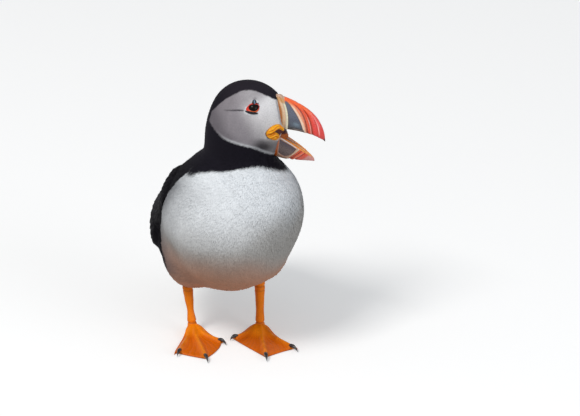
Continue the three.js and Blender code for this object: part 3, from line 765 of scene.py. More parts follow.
# %% [markdown]
# ## The bill
# A breeding puffin wears a horny sheath in plates: a fleshy strip where feathers end, a pale ridge,
# a slate plate, and curved red-orange bands with grooves between them. Each mandible is a net: t
# runs from the root to the tip and the ring parameter runs down one side, across the hollow inner
# face, and up the other side. `t` and the height h between edge and ridge are also the chart on
# which the plates are laid out, so one set of lines gives both relief and colour.

# %% Nets for curved horn


def bezier(points, t):
    """Cubic Bezier curve: the four points weighted by the terms of ((1 - t) + t) ^ 3."""
    p, t = np.array(points, float), np.asarray(t)[..., None]
    return p[0] * (1 - t) ** 3 + 3 * p[1] * t * (1 - t) ** 2 + 3 * p[2] * t ** 2 * (1 - t) + p[3] * t ** 3


def outward_normals(grid):
    """Unit normals of a net whose columns close into a ring, from the differences of neighbours.

    They are turned to point out at one place on the right side of the head.
    """
    down = np.gradient(grid, axis=0)
    around = np.roll(grid, -1, 1) - np.roll(grid, 1, 1)
    normal = unit(np.cross(down, around))
    return -normal if normal[60, 20] @ HEAD[1] > 0 else normal


# ridge and edge run forward and up on the head; half widths are by t
BILL_UPPER = {
    "ridge": [(18.0, 12.4), (30.8, 6.8), (47.9, 1.5), (49.5, -20.3)],
    "edge": [(20.5, -10.2), (34, -12.2), (44, -14.5), (48.6, -19.2)],
    "half_ridge": [(0, 2.6), (0.5, 2.0), (1, 0.5)],
    "half_edge": [(0, 7.6), (0.35, 6.2), (0.75, 4.2), (1, 0.8)],
}
BILL_LOWER = {
    "ridge": [(17.5, -14.2), (28.4, -19.8), (36, -26.2), (42.2, -32.0)],
    "edge": [(12.5, -27.4), (17.8, -33.0), (31, -33.3), (42.7, -34.0)],
    "half_ridge": [(0, 6.6), (0.5, 4.8), (1, 0.8)],
    "half_edge": [(0, 3.4), (0.5, 2.4), (1, 0.6)],
}
SHOULDER_POWER = 0.45  # power of the sine that squares the section's shoulders
OUTSIDE = 0.8  # share of half a ring that lies outside; the rest is the hollow


def blade_net(shape, hollow_at, rows, columns):
    """A mandible on the head's axes: height h = (1 + cos a) / 2, half width x |sin a| ^ 0.45.

    The ring starts at the crest opposite the mouth, follows the outside to the biting edge, and
    crosses the hollow, which sinks towards the crest by hollow_at(t) of the height.
    Returns points, t, h and a mask that is 1 on the outside and 0 in the hollow.
    """
    t, ring = np.meshgrid(np.linspace(0, 1, rows) ** 0.85, np.arange(columns) / columns, indexing="ij")
    half_ring = np.minimum(ring, 1 - ring) * 2
    angle = np.pi * np.minimum(half_ring / OUTSIDE, 1) * 0.93
    inward = np.clip((half_ring - OUTSIDE) / (1 - OUTSIDE), 0, 1)
    from_crest = (1 - np.cos(angle)) / 2
    from_crest = from_crest - inward ** 0.6 * hollow_at(t) * from_crest
    bulge = np.abs(np.sin(angle)) ** SHOULDER_POWER * (1 - inward)
    h = 1 - from_crest if shape is BILL_UPPER else from_crest
    at_edge, at_ridge = ramp(t, shape["half_edge"])[..., None], ramp(t, shape["half_ridge"])[..., None]
    half = mixed(at_edge, at_ridge, h)[..., 0]
    place = mixed(bezier(shape["edge"], t), bezier(shape["ridge"], t), h)
    side = np.where(ring < 0.5, -1, 1) * half * bulge
    points = on_head(np.stack([place[..., 0], side, place[..., 1]], -1))
    return points, t, h, 1 - smoothstep(inward, 0.0, 0.12)


def rooted(points, depth):
    """The net with its first row moved back into the head, so that no gap shows at the feathers."""
    points = points.copy()
    middle = points[0].mean(0)
    points[0] = middle + (points[1] - middle) * 0.8 - HEAD[0] * depth
    points[0] = points[0].mean(0)
    points[1] = points[1] - HEAD[0] * depth
    points[-1] = points[-1].mean(0)
    return points


def mandible(name, shape, hollow_at, rows, plates, depth, hollow_colour):
    """A closed net of horn with its plates in relief; hollow_colour(t) is its inner face's."""
    points, t, h, outside = blade_net(shape, hollow_at, rows, 200)
    relief, colours = plates(t, h)
    raised = (relief * outside * smoothstep(t, 1.0, 0.9))[..., None]
    points = rooted(points + outward_normals(points) * raised, depth)
    colours = mixed(hollow_colour(t), colours, outside)
    piece = closed_piece(name + "_sheath", points, colours, "bill_horn", name)
    print(name, len(piece.data.polygons), "faces")
    return piece


# %% [markdown]
# Upper mandible. A line between two plates is t = T - A h^2 - B h^10: nearly straight up from the
# biting edge, then swept back to the crest. The two rear lines are arched instead. Ridges stand
# proud, grooves are cut in, and a pale highlight is painted beside each groove. Colours go on like
# coats of paint: each has a share for every place of the chart.

# %% Lines between the upper mandible's plates
# foot, sweep and hook of each line; grooves also have a half width, and where they fade at the crest
SLATE_FRONT, PALE_FRONT = (0.415, 0.28, 0.0), (0.48, 0.18, 0.22)
GROOVES = [((0.508, 0.17, 0.16), 0.020, (0.985, 0.9)), ((0.626, 0.17, 0.14), 0.020, (0.985, 0.88)),
           ((0.765, 0.17, 0.12), 0.016, (0.96, 0.75))]
CREAM, TAN = ("#d6cab2", "#fbf6d4"), ("#c8762c", "#dcb890")


def plate_line(h, foot, sweep, hook):
    """t = foot - sweep h^2 - hook h^10."""
    return foot - sweep * h ** 2 - hook * h ** 10


def arched_line(h, most, low, high):
    """t = most at h = 0.52, less by low and high times the distance squared below and above it."""
    return most - low * np.maximum(0.52 - h, 0) ** 2 - high * np.maximum(h - 0.52, 0) ** 2


def between(pair, share):
    """The colour at a share of the way between a pair of hex colours."""
    return mixed(srgb(pair[0]), srgb(pair[1]), share)


# %% The upper mandible's relief and colour


def upper_plates(t, h):
    """Relief in millimetres and linear colour over the upper mandible."""
    ridge_rear, slate_rear = arched_line(h, 0.113, 0.2, 0.39), arched_line(h, 0.161, 0.16, 0.28)
    slate_front, pale_front = plate_line(h, *SLATE_FRONT), plate_line(h, *PALE_FRONT)
    groove_1, groove_2, groove_3 = (plate_line(h, *line) for line, _, _ in GROOVES)
    cut_1, cut_2, cut_3 = (bell(t - plate_line(h, *line), half) * smoothstep(h, *fade)
                           for line, half, fade in GROOVES)
    crest = smoothstep(h, 0.80, 0.88) * smoothstep(t, 0.135, 0.115)
    slate = band(t, slate_rear, slate_front, 0.005) * smoothstep(h, 0.95, 0.90) * (1 - crest)
    pale_ridge = band(t, ridge_rear + 0.012, slate_rear - 0.006, 0.010)

    relief = 0.35 * smoothstep(t, ridge_rear, ridge_rear - 0.03) + 0.6 * pale_ridge - 0.1 * slate
    relief = relief + 0.35 * band(t, slate_front, pale_front, 0.018)
    relief = relief + 0.3 * band(t, pale_front + 0.02, groove_1, 0.02)
    relief = relief + 0.35 * band(t, groove_1, groove_2, 0.03)
    relief = relief + 0.3 * smoothstep(t, groove_2, groove_2 + 0.05)
    relief = (relief - 0.55 * cut_1 - 0.55 * cut_2 - 0.28 * cut_3) * smoothstep(h, 0.0, 0.07)

    pale = painted(between(("#fbd6bc", "#f08a56"), smoothstep((t - slate_front) / 0.07, 0.5, 1.15)),
                   ("#f07a34", smoothstep(h, 0.78, 0.95)))
    glint = np.exp(-((h - 0.27) / 0.07) ** 2 - ((t - 0.29) / 0.06) ** 2)
    grey = painted(between(("#5a6072", "#3d4452"), smoothstep(h, 0.62, 0.18)), ("#7f97a8", 0.6 * glint),
                   ("#15141b", smoothstep(h + 2.0 * (t - slate_rear), 0.30, 0.08)))
    seam = np.clip(0.8 * (bell(t - slate_rear, 0.007) + bell(t - slate_front, 0.006)), 0, 1)
    along_foot = band(t, slate_rear, slate_front + 0.03, 0.012)
    # painted highlights: pale streaks beside the grooves, where the gloss catches the light
    highlight_1 = band(t - groove_1, 0.018, 0.040, 0.008) * band(h, 0.12, 0.8, 0.15)
    highlight_2 = band(t - groove_2, -0.045, -0.018, 0.007) * band(h, 0.0, 0.7, 0.1)
    gleam = band(t - groove_3, 0.035, 0.065, 0.016) * band(h, 0.3, 0.86, 0.16)
    lip = smoothstep(h, 0.045, 0.03) * band(t, 0.12, 0.62, 0.05)
    cream = between(CREAM, smoothstep(t - slate_rear, -0.036, -0.014))
    tan = between(TAN, smoothstep(t - ridge_rear, -0.056, -0.038))
    colour = painted(
        between(("#ee4c1e", "#f13a34"), smoothstep(t, 0.46, 0.70)),  # orange-red to red at the tip
        ("#ff6210", smoothstep(h, 0.84, 0.96) * smoothstep(t, 0.66, 0.42)),
        (pale, band(t, slate_front, pale_front + 0.01, 0.010)),
        # painted highlights beside the grooves
        ("#fa8a5c", 0.45 * highlight_1), ("#f4b8a8", 0.8 * highlight_2), ("#ffc8bc", 0.8 * gleam),
        ("#862a06", 0.95 * cut_1), ("#962e08", 0.9 * cut_2), ("#b8300e", 0.6 * cut_3),
        ("#e0683c", 0.6 * smoothstep(h, 0.10, 0.02) * smoothstep(t, 0.6, 0.75)),
        (grey, slate),
        ("#241c22", seam * (h < 0.88) * (t < slate_front + 0.02)),
        ("#170e12", 0.95 * band(h, 0.045, 0.145, 0.012) * along_foot),  # the slate's dark foot
        ("#c9b2ac", 0.7 * band(h, 0.075, 0.098, 0.008) * along_foot * smoothstep(t, 0.2, 0.26)),
        ("#e6cfae", 0.85 * lip),
        (cream, band(t, ridge_rear, slate_rear - 0.003, 0.005)),
        (tan, smoothstep(t, ridge_rear + 0.004, ridge_rear - 0.006)),
        (between(("#cf9a5c", "#c9a084"), smoothstep(h, 0.93, 0.985)), crest),
        ("#3a1210", smoothstep(t, 0.935, 0.975)))
    return relief, colour


# the upper mandible's hollow inner face is dark red, painted shade inside the mouth
bill_upper = mandible("bill_upper", BILL_UPPER, lambda t: 0.34 * (1 - t) ** 0.5, 190, upper_plates, 2.0,
                      lambda t: np.broadcast_to(srgb("#5a1a18"), t.shape + (3,)))

# %% The lower mandible's plates
# the lower border of the maroon-grey plate: h by t
PLATE_FOOT = [(0.2, 0.28), (0.3, 0.19), (0.39, 0.15), (0.45, 0.24), (0.49, 0.43), (0.505, 0.65)]


def lower_plates(t, h):
    """Relief and colour below: a maroon-grey plate in a pale rim, an orange lip, red bands, pink tip."""
    inside = np.minimum((t - 0.112 - 0.18 * (0.83 - h)) * 3, (0.507 - t) * 3)
    inside = np.minimum(inside, np.minimum(0.912 - 0.085 * t - h, h - through(t, PLATE_FOOT)))
    plate = smoothstep(inside, 0.0, 0.02)
    beyond = t - (0.475 + 0.105 * h)
    lip_line = 0.972 - 0.10 * t
    lip = smoothstep(h, lip_line, lip_line + 0.012)
    pale = smoothstep(beyond, 0.010, -0.004) * (1 - plate) * (1 - lip)
    cut_1, cut_2 = bell(t - 0.530 - 0.125 * h, 0.016), bell(t - 0.625 - 0.130 * h, 0.016)
    # a painted highlight line between the two grooves
    pale_highlight = bell(t - 0.580 - 0.128 * h, 0.015)
    relief = 0.35 * pale - 0.1 * plate + 0.3 * lip - 0.4 * (cut_1 + cut_2) * (1 - lip) + 0.2 * pale_highlight
    colour = painted(
        between(("#e2531c", "#ea4f30"), smoothstep(beyond, 0.05, 0.2)),
        ("#dc9690", smoothstep(t - 0.095 * h, 0.72, 0.78)),  # the pink tip
        ("#8c2408", 0.85 * cut_1), ("#f79472", 0.7 * pale_highlight), ("#a83410", 0.75 * cut_2),
        (between(("#b98f76", "#dcbfa2"), smoothstep(beyond, -0.05, -0.01)), pale),
        (between(("#67514f", "#3d2a3a"), smoothstep(h, 0.5, 0.9)), plate),
        ("#f0e6e2", 0.9 * band(h - lip_line, -0.03, -0.002, 0.007) * band(t, 0.12, 0.50, 0.02)),
        ("#ea8a1c", lip * smoothstep(t, 0.98, 0.85)),
        ("#c9601a", smoothstep(t - 0.18 * (0.83 - h), 0.112, 0.098) * (1 - lip)))
    return relief, colour


bill_lower = mandible("bill_lower", BILL_LOWER, lambda t: 0.5 * (1 - t) ** 0.6, 170, lower_plates, 0.0,
                      lambda t: between(("#c26a3c", "#e8b684"), smoothstep(t, 0.1, 0.6)))

# %% [markdown]
# ## Places on the cheek
# Eyelids and the gape's rosette sit on the head's side. `cheek` sends a ray sideways out of the
# head's middle and stops at the outline, so a small piece can be drawn flat, as it looks from the
# side, and then laid on the round head; `slope_of` says which way is out there.

# %% Laying flat drawings on the cheek


def cheek(forward, up, side):
    """Bird millimetres of the outline at a place of the head's side view."""
    forward, up = np.broadcast_arrays(np.asarray(forward, float), np.asarray(up, float))
    start = on_head(np.stack([forward, np.zeros_like(forward), up], -1)).reshape(-1, 3)
    out = np.broadcast_to(side * HEAD[1], start.shape)
    reach = walk_out(start, out, lambda points, who: plumage(points) < 0)
    return (start + out * reach[:, None]).reshape(forward.shape + (3,))


def tyre_faces(rows, columns):
    """Faces of a net that closes both ways, like a tyre."""
    i, j = np.meshgrid(np.arange(rows), np.arange(columns), indexing="ij")
    below, after = (i + 1) % rows, (j + 1) % columns
    return np.stack([i * columns + j, below * columns + j, below * columns + after,
                     i * columns + after], -1).reshape(-1, 4)


def turned_out(points, faces):
    """The same faces, turned so that they enclose a positive volume."""
    a, b, c = (points[faces[:, i]] for i in range(3))
    middle = points.mean(0)
    volume = np.einsum("ij,ij->i", a - middle, np.cross(b - middle, c - middle)).sum()
    return faces if volume > 0 else faces[:, ::-1]


def round_curve(stations, angle):
    """A smooth closed curve's radius at an angle, through (degrees, radius) stations.

    Each station's pull falls off as a bell of 12 degrees, and the pulls are shared out.
    """
    stations = np.array(stations, float)
    apart = (np.degrees(angle)[..., None] - stations[:, 0] + 180) % 360 - 180
    pull = bell(apart, 12) + 1e-9
    return (pull * stations[:, 1]).sum(-1) / pull.sum(-1)


# %% [markdown]
# ## Eyes
# A puffin's eye is dark brown, nearly black, in a red ring of bare skin that runs out to a point
# behind. A small horny plate stands on the upper lid like a spike, and a long one lies below. The
# ring is a tyre-like net: its inner edge rests on the eyeball, and its outer edge sinks into the
# feathers. Shapes are drawn in the side view; heights are divided by the slant of the cheek.

# %% Eyeballs
EYE_RADIUS = 4.2  # mm, of the ball that shows


def eyeball(side):
    """A sphere about the head's left axis: pupil, iris and dark rim by the angle from that axis."""
    polar, round_ = round_grid(60, 64, 0, np.pi)
    local = np.stack([np.sin(polar) * np.cos(round_), side * np.cos(polar),
                      np.sin(polar) * np.sin(round_)], -1)
    cornea = 1 + 0.05 * smoothstep(polar, 0.75, 0.0)
    points = on_head(EYE_SEAT * [1, side, 1] + EYE_RADIUS * local * cornea[..., None])
    rays_of_iris = 0.5 + 0.5 * np.sin(round_ * 22 + 3 * np.sin(round_ * 5))
    iris = between(("#0e0806", "#1b100b"), rays_of_iris * smoothstep(polar, 0.30, 0.5))
    colours = painted(srgb("#050405"), (iris, smoothstep(polar, 0.30, 0.36)),
                      ("#0a0706", smoothstep(polar, 0.55, 0.66)))
    return points, colours


# %% Lid rings
EYE_OPENING = (3.2, 1.95)  # half length and half height of what shows of the eyeball
CHEEK_SLANT = 1.06  # how much taller the eye looks from above than it is
# the ring's outer edge: degrees from straight ahead, upwards, and radius
RING_EDGE = [(0, 3.6), (22, 3.4), (50, 2.85), (75, 2.65), (107, 2.9), (130, 3.15), (158, 3.6),
             (178, 4.5), (192, 5.5), (205, 4.9), (218, 4.0), (245, 3.25), (274, 3.1), (295, 3.3),
             (311, 3.85), (330, 3.75)]


def lid_ring(side):
    """Across the ring: up over a rounded ridge from the eyeball to the feathers, and back below."""
    rows, columns = 28, 120
    section, angle = np.meshgrid(np.arange(rows) / rows, np.arange(columns) / columns * 2 * np.pi,
                                 indexing="ij")
    on_top = section < 0.5
    over = np.where(on_top, section * 2, 2 - section * 2)
    inner = 1 / np.hypot(np.cos(angle) / EYE_OPENING[0], np.sin(angle) / EYE_OPENING[1] / CHEEK_SLANT)
    radius = inner * 0.96 + (round_curve(RING_EDGE, angle) - inner * 0.96) * over
    forward = OPENING_AT[0] + radius * np.cos(angle)
    up = OPENING_AT[1] + radius * np.sin(angle) / CHEEK_SLANT
    skin_at = cheek(forward, up, side)
    out = slope_of(skin_at)
    from_ball = np.hypot(forward - EYE_SEAT[0], up - EYE_SEAT[2])
    ball_c = EYE_SEAT[1] + np.sqrt(np.maximum(EYE_RADIUS ** 2 - from_ball ** 2, 0.1))
    ball_at = on_head(np.stack([forward, side * ball_c, up], -1))
    base = mixed(ball_at, skin_at - 0.3 * out, smoothstep(over, 0.0, 0.85))
    crown = np.where(on_top, 0.62 * np.sin(np.pi * over) ** 0.7 + 0.12, -0.5)
    beads = 0.06 * np.sin(angle * 26) * np.sin(np.pi * over) * on_top
    points = base + out * (crown + beads)[..., None]
    red = between(("#d93420", "#f26c36"), band(np.degrees(angle), 215, 330, 12))  # orange below
    colours = painted(srgb("#2a0808"), (red, smoothstep(over, 0.08, 0.3)),
                      ("#a84a1c", smoothstep(over, 0.8, 1.0) * band(np.degrees(angle), 80, 150, 8)))
    return points, colours


# %% Lid plates
# place, capsule, height, sag and the colour of the shine along it
LID_PLATES = [("upper", SPIKE, 1.0, 0.0, "#7399b6"), ("lower", BAR, 0.8, 0.3, "#12151f")]


def lid_plate(side, capsule, height, sag, light):
    """A low horny cushion over a capsule that sags by sag (1 - x^2): domed on top, flat below."""
    polar, angle = round_grid(30, 48, -1, 1)
    (a0, b0), (a1, b1), r0, r1 = capsule
    along = unit(np.array([a1 - a0, b1 - b0]))
    length = np.hypot(a1 - a0, b1 - b0)
    ring = np.cos(polar * np.pi / 2) ** 0.8
    x = np.cos(angle) * ring
    half = r0 + (r1 - r0) * np.clip(0.5 + 0.5 * x * 1.05, 0, 1)
    reach = x * (length / 2 + (r0 + r1) / 2)
    across = np.sin(angle) * ring * half
    forward = (a0 + a1) / 2 + along[0] * reach - along[1] * across
    up = (b0 + b1) / 2 + along[1] * reach + along[0] * across - sag * (1 - x * x)
    skin_at = cheek(forward, up, side)
    lift = np.where(polar > 0, height * np.sin(polar * np.pi / 2), -0.6)
    points = skin_at + slope_of(skin_at) * (0.15 + lift)[..., None]
    shine = bell(np.sin(angle) * ring + 0.1, 0.2) * smoothstep(polar, 0.3, 0.8)
    return points, between(("#08080f", light), shine)


# %% Both eyes
eye_pieces, lid_pieces, plate_pieces = [], [], []
for word, side in SIDES.items():
    points, colours = eyeball(side)
    eye_pieces.append(closed_piece("eyeball_" + word, points, colours, "eye", "eye_" + word))
    points, colours = lid_ring(side)
    flat = points.reshape(-1, 3)
    faces = turned_out(flat, tyre_faces(*points.shape[:2]))
    ring = make_piece("lid_ring_" + word, flat, [faces], colours.reshape(-1, 3))
    lid_pieces.append(placed(ring, "gape_skin"))
    for place, capsule, height, sag, light in LID_PLATES:
        points, colours = lid_plate(side, capsule, height, sag, light)
        plate_pieces.append(closed_piece("lid_plate_" + place + "_" + word, points, colours, "eye_plate",
                                         "eyeplate_" + place + "_" + word))
print("eye pieces:", len(eye_pieces) + len(lid_pieces) + len(plate_pieces))

# %% [markdown]
# ## The gape's rosette and the corner of the mouth
# At the corner of the mouth the skin folds into a fleshy orange rosette. With the bill open it is a
# fat C: an upper lobe that runs on to the bill, a lower lobe, and a deep fold between them that
# widens into the mouth. It is drawn in polar coordinates about its middle: a dome, less the fold,
# less a few pleats that run along the lobes. Behind the fold a pillar of skin joins the jaws; it is
# painted dark, as shade inside the mouth.

# %% Rosettes
ROSETTE_AT = (17.2, -8.9)  # forward and up on the head
CHEEK_FRONT_AT = 21.0  # beyond this the rosette leaves the cheek and runs on towards the bill
# its outer edge: degrees from straight ahead, upwards, and radius
ROSETTE_EDGE = [(0, 6.0), (12, 6.2), (28, 6.0), (50, 6.0), (68, 5.85), (90, 5.3), (118, 4.9), (142, 4.7),
                (165, 4.9), (185, 5.0), (200, 4.8), (220, 4.8), (242, 4.9), (264, 5.4), (285, 6.0),
                (302, 5.5), (320, 4.6), (340, 4.6)]
# the fold's middle and half width, by how far forward
FOLD_LINE = [(12, -9.8), (13.8, -9.4), (16.4, -8.5), (17.6, -8.0), (18.6, -8.05), (19.8, -8.65),
             (20.8, -9.7), (22, -10.6), (24, -11.6)]
FOLD_HALF = [(12, 0.08), (16.4, 0.18), (17.6, 0.42), (18.6, 1.1), (19.8, 1.75), (20.8, 2.2), (24, 2.4)]


def rosette(side):
    """Height = 2.1 sqrt(1 - r^4), less the fold and less 0.3 mm pleats, over the cheek."""
    polar, angle = round_grid(90, 150, -1, 1)
    ring = np.cos(polar * np.pi / 2)
    radius = ring * round_curve(ROSETTE_EDGE, angle)
    forward = ROSETTE_AT[0] + radius * np.cos(angle)
    up = ROSETTE_AT[1] + radius * np.sin(angle)
    skin_at = cheek(np.minimum(forward, CHEEK_FRONT_AT), up, side)
    onward = np.maximum(forward - CHEEK_FRONT_AT, 0)[..., None]
    skin_at = skin_at + onward * (HEAD[0] - side * 0.2 * HEAD[1])
    from_fold = up - through(forward, FOLD_LINE)
    outside_fold = np.abs(from_fold) - through(forward, FOLD_HALF)
    dome = 2.1 * np.sqrt(np.maximum(1 - ring ** 4, 0))
    lobes = smoothstep(outside_fold, -0.35, 1.0)
    phase = outside_fold / np.where(from_fold > 0, 1.55, 1.75)  # pleats lie that many mm apart
    pleats = np.cos(2 * np.pi * phase + 0.5 * wander(skin_at, 4, 21)) * smoothstep(outside_fold, 0.2, 0.9)
    pleats = pleats * smoothstep(ring, 0.99, 0.8) * np.where(from_fold > 0, 0.7, 1.0)
    lift = np.where(polar > 0, dome * (0.28 + 0.72 * lobes) - 0.15 + 0.32 * pleats, -0.9)
    points = skin_at + slope_of(skin_at) * lift[..., None]
    deep = smoothstep(outside_fold, 0.28, -0.15)
    in_mouth = smoothstep(forward, 16.6, 18.0)
    colours = painted(
        between(("#faae06", "#f39305"), smoothstep(wander(skin_at, 3.5, 22), -0.8, 0.9)),
        ("#c25f02", 0.8 * smoothstep(-pleats, 0.25, 0.9)), ("#ffc41e", 0.5 * smoothstep(pleats, 0.3, 1.0)),
        # the fold is dark brown, and near black where it opens into the mouth: painted shade inside the mouth
        ("#8c3404", deep * (1 - in_mouth)), ("#481006", deep * in_mouth),
        ("#8a5a10", 0.5 * smoothstep(ring, 0.93, 1.0) * (polar > 0)))
    return points, colours


gape_pieces = []
for word, side in SIDES.items():
    points, colours = rosette(side)
    gape_pieces.append(closed_piece("rosette_" + word, points, colours, "gape_skin", "gape_" + word))

# %% The mouth's lining
LINING_TOP, LINING_TALL = -8.2, 9.6  # up on the head, and how far down it goes
LINING_MIDDLE, LINING_BACK = 20, 5.0  # forward on the head, and how far back from there
# by height: how far forward its front is, and its half width
LINING_FRONT = [(-17.8, 27.2), (-16.5, 26.0), (-14.5, 24.7), (-12.4, 24.0), (-10.2, 24.2), (-8.2, 24.8)]
LINING_HALF = [(-17.8, 4.4), (-14, 5.2), (-10, 6.2), (-8.2, 5.6)]


def mouth_lining():
    """A pillar of level sections between the jaws: an ellipse from inside the head to the front."""
    share, angle = round_grid(50, 72)
    up = LINING_TOP - LINING_TALL * share
    front = through(up, LINING_FRONT) - LINING_MIDDLE
    close = np.sin(np.pi * np.clip(share, 0.001, 0.999)) ** 0.12
    forward = LINING_MIDDLE + np.where(np.cos(angle) > 0, front, LINING_BACK) * np.cos(angle) * close
    side = through(up, LINING_HALF) * np.sign(np.sin(angle)) * np.abs(np.sin(angle)) ** 0.7 * close
    pleat = 0.18 * np.sin(up * 4.2 + forward * 1.3)
    points = on_head(np.stack([forward + pleat * 0.5, side + pleat * np.sign(side), up], -1))
    under_tongue = -12.8 - 0.22 * (forward - 18.5) - up
    # painted shade: the lining is near black inside the mouth, a little less dark lower down, and
    # orange-brown at its foot
    colours = painted(between(("#1a0505", "#40100c"), smoothstep(share, 0.15, 0.5)),
                      ("#b5602a", smoothstep(under_tongue, -0.3, 0.5)))
    return points, colours


points, colours = mouth_lining()
lining = closed_piece("mouth_lining", points, colours, "mouth_lining", "throat")
print("mouth pieces:", len(gape_pieces) + 1)

# %% [markdown]
# ## Folded wings
# A folded wing is a leaf that lies on the flank: small coverts over the shoulder like shingles,
# longer coverts in rows behind them, then secondaries, and the stiff primaries that run out to the
# tip. The leaf's outline is given along its length t by two half widths; w runs across it, from -1
# at the lower edge to 1 at the upper. A table of the leaf's base points, outward directions and
# heights over the flank is worked out once, and every feather reads its place from it.

# %% The wing's leaf as a table over (t, w)
WING_ROOT, WING_TIP = (15, 121), (-79, 52)  # forward and up on the trunk
WING_THICK = 10
WING_EDGE = 1.6  # height of the rim over the flank
WING_LENGTH = np.hypot(WING_ROOT[0] - WING_TIP[0], WING_ROOT[1] - WING_TIP[1])
WING_SLOPE = np.arctan2(WING_ROOT[1] - WING_TIP[1], WING_ROOT[0] - WING_TIP[0])
UPPER_HALF = [(0, 4), (0.11, 10.5), (0.35, 21.5), (0.55, 20), (0.8, 10), (1, 2.5)]
LOWER_HALF = [(0, 3), (0.16, 8.5), (0.36, 17.5), (0.55, 29.5), (0.72, 22), (0.88, 10), (1, 3)]
WIDEST = 60.0  # mm from the bird's middle plane, outside the whole body
LEAF_OUT = [(0, 30), (0.5, 24), (0.85, 13), (1, 10)]  # mm from that plane where the body falls away
TABLE_T, TABLE_W = 91, 61
TABLE_T_RANGE, TABLE_W_RANGE = (-0.06, 1.1), (-1.25, 1.25)


def half_width(t, w):
    """Millimetres from the leaf's midline to the edge on w's side."""
    return np.where(w > 0, ramp(t, UPPER_HALF), ramp(t, LOWER_HALF))


def sunk_by(t, base, side):
    """How far the leaf is let into the flank, so that the shoulder's edge shows as no step."""
    proud = np.maximum(plumage(base), 0) * ramp(t, [(0.3, 1), (0.7, 0)])
    shoulder = 0.8 + 1.4 * side  # the left shoulder is let in deeper than the right one
    return proud + ramp(t, [(0, 3.2), (0.14, shoulder), (0.3, 1.7), (0.5, 0.3), (0.7, -1.4), (0.95, -0.6)])


def wing_table(side):
    """Base points, unit outward directions and lift over (t, w), as one (TABLE_T, TABLE_W, 7) array.

    The leaf rests on the flank, or a set distance out where the body falls away from it.
    """
    t, w = np.meshgrid(np.linspace(*TABLE_T_RANGE, TABLE_T), np.linspace(*TABLE_W_RANGE, TABLE_W),
                       indexing="ij")
    half = half_width(t, w) * w
    forward = WING_ROOT[0] + (WING_TIP[0] - WING_ROOT[0]) * t - half * np.sin(WING_SLOPE)
    up = WING_ROOT[1] + (WING_TIP[1] - WING_ROOT[1]) * t + half * np.cos(WING_SLOPE)
    start = on_trunk(np.stack([forward, np.full_like(t, side * WIDEST), up], -1)).reshape(-1, 3)
    inward = np.broadcast_to(-side * TRUNK[1], start.shape)
    fall = walk_out(start, inward, lambda points, who: plumage(points) > 0, farthest=WIDEST)
    flank = (WIDEST - fall).reshape(t.shape)
    rest = -blend([-flank, -ramp(t, LEAF_OUT)], 2)
    base = on_trunk(np.stack([forward, side * rest, up], -1))
    out = slope_of(base)
    base = base - out * sunk_by(t, base, side)[..., None]
    crown = np.sqrt(np.maximum(1 - w ** 2, 0)) ** 0.7
    thick = WING_THICK * ramp(t, [(0, 0.2), (0.2, 0.28), (0.58, 1), (0.8, 0.7), (1, 0.3)])
    lift = (WING_EDGE + (thick - WING_EDGE) * crown) * smoothstep(np.abs(w), 1.25, 1.0)
    lift = lift * ramp(t, [(-0.05, 0.2), (0.25, 1)])
    return np.concatenate([base, out, lift[..., None]], -1)


WING_TABLES = {word: wing_table(side) for word, side in SIDES.items()}


def on_wing(word, t, w, share, extra=0.0):
    """Bird millimetres at (t, w), share of the leaf's lift plus extra mm out; bilinear reading."""
    table = WING_TABLES[word]
    x = np.clip((t - TABLE_T_RANGE[0]) / np.ptp(TABLE_T_RANGE), 0, 1) * (TABLE_T - 1)
    y = np.clip((w - TABLE_W_RANGE[0]) / np.ptp(TABLE_W_RANGE), 0, 1) * (TABLE_W - 1)
    i, j = np.minimum(x.astype(int), TABLE_T - 2), np.minimum(y.astype(int), TABLE_W - 2)
    x, y = (x - i)[..., None], (y - j)[..., None]
    read = ((table[i, j] * (1 - x) + table[i + 1, j] * x) * (1 - y)
            + (table[i, j + 1] * (1 - x) + table[i + 1, j + 1] * x) * y)
    return read[..., :3] + read[..., 3:6] * (read[..., 6] * share + extra)[..., None]


def wing_pad(word):
    """The wing's fleshy body: a ring of sections from the upper edge over the outside and back."""
    t, angle = round_grid(60, 60)
    close = np.sin(np.pi * np.clip(t, 0.001, 0.999)) ** 0.3
    w = np.cos(angle) * 0.93 * close
    outer = np.sin(angle) > -0.01
    depth = ramp(t, [(0, 4), (0.6, 4), (1, 0.8)]) * close
    return on_wing(word, t, w, np.where(outer, 0.7, 0.0), np.where(outer, 0, -depth))


# %% [markdown]
# Each wing feather is a little sheet: stations s from root to tip, and places q across it. Its
# outline widens over the first tenth and closes like an ellipse at the tip, the shaft stands a
# touch proud, and the tip lies over the root of the next feather.

# %% Sheets for large feathers


def feather_sheets(place, t_root, w_root, length, width, stations, across, lifts, taper=0.55, bend=0.0):
    """Points (n, stations, across, 3) of feathers laid on a leaf by place(t, w, share, extra).

    The half width is width / 2 times s / 0.12 + 0.25, at most 1, and past s = taper it closes as
    sqrt(1 - x^2.2). t_root, w_root, length (share of t) and width (share of w) are per feather;
    lifts = (root, tip, mm).
    """
    s = np.linspace(0, 1, stations)[None, :, None]
    q = np.linspace(-1, 1, across)[None, None, :]
    to_tip = np.clip((s - taper) / (1 - taper), 0, 1)
    outline = np.minimum(1, (s / 0.12 + 0.25)) * np.sqrt(np.clip(1 - to_tip ** 2.2, 0.0004, 1))
    t = t_root[:, None, None] + length[:, None, None] * (s - 0.03 * np.abs(q))
    drift = bend if np.isscalar(bend) else bend[:, None, None]
    w = w_root[:, None, None] + drift * s ** 2 + 0.5 * width[:, None, None] * q * outline
    share = lifts[0] + (lifts[1] - lifts[0]) * s + 0 * q
    extra = lifts[2] * s + 0.22 * (1 - np.abs(q)) - 0.25 * np.abs(q) ** 2 * (1 - 0.4 * s)
    return place(t, w, share, extra)


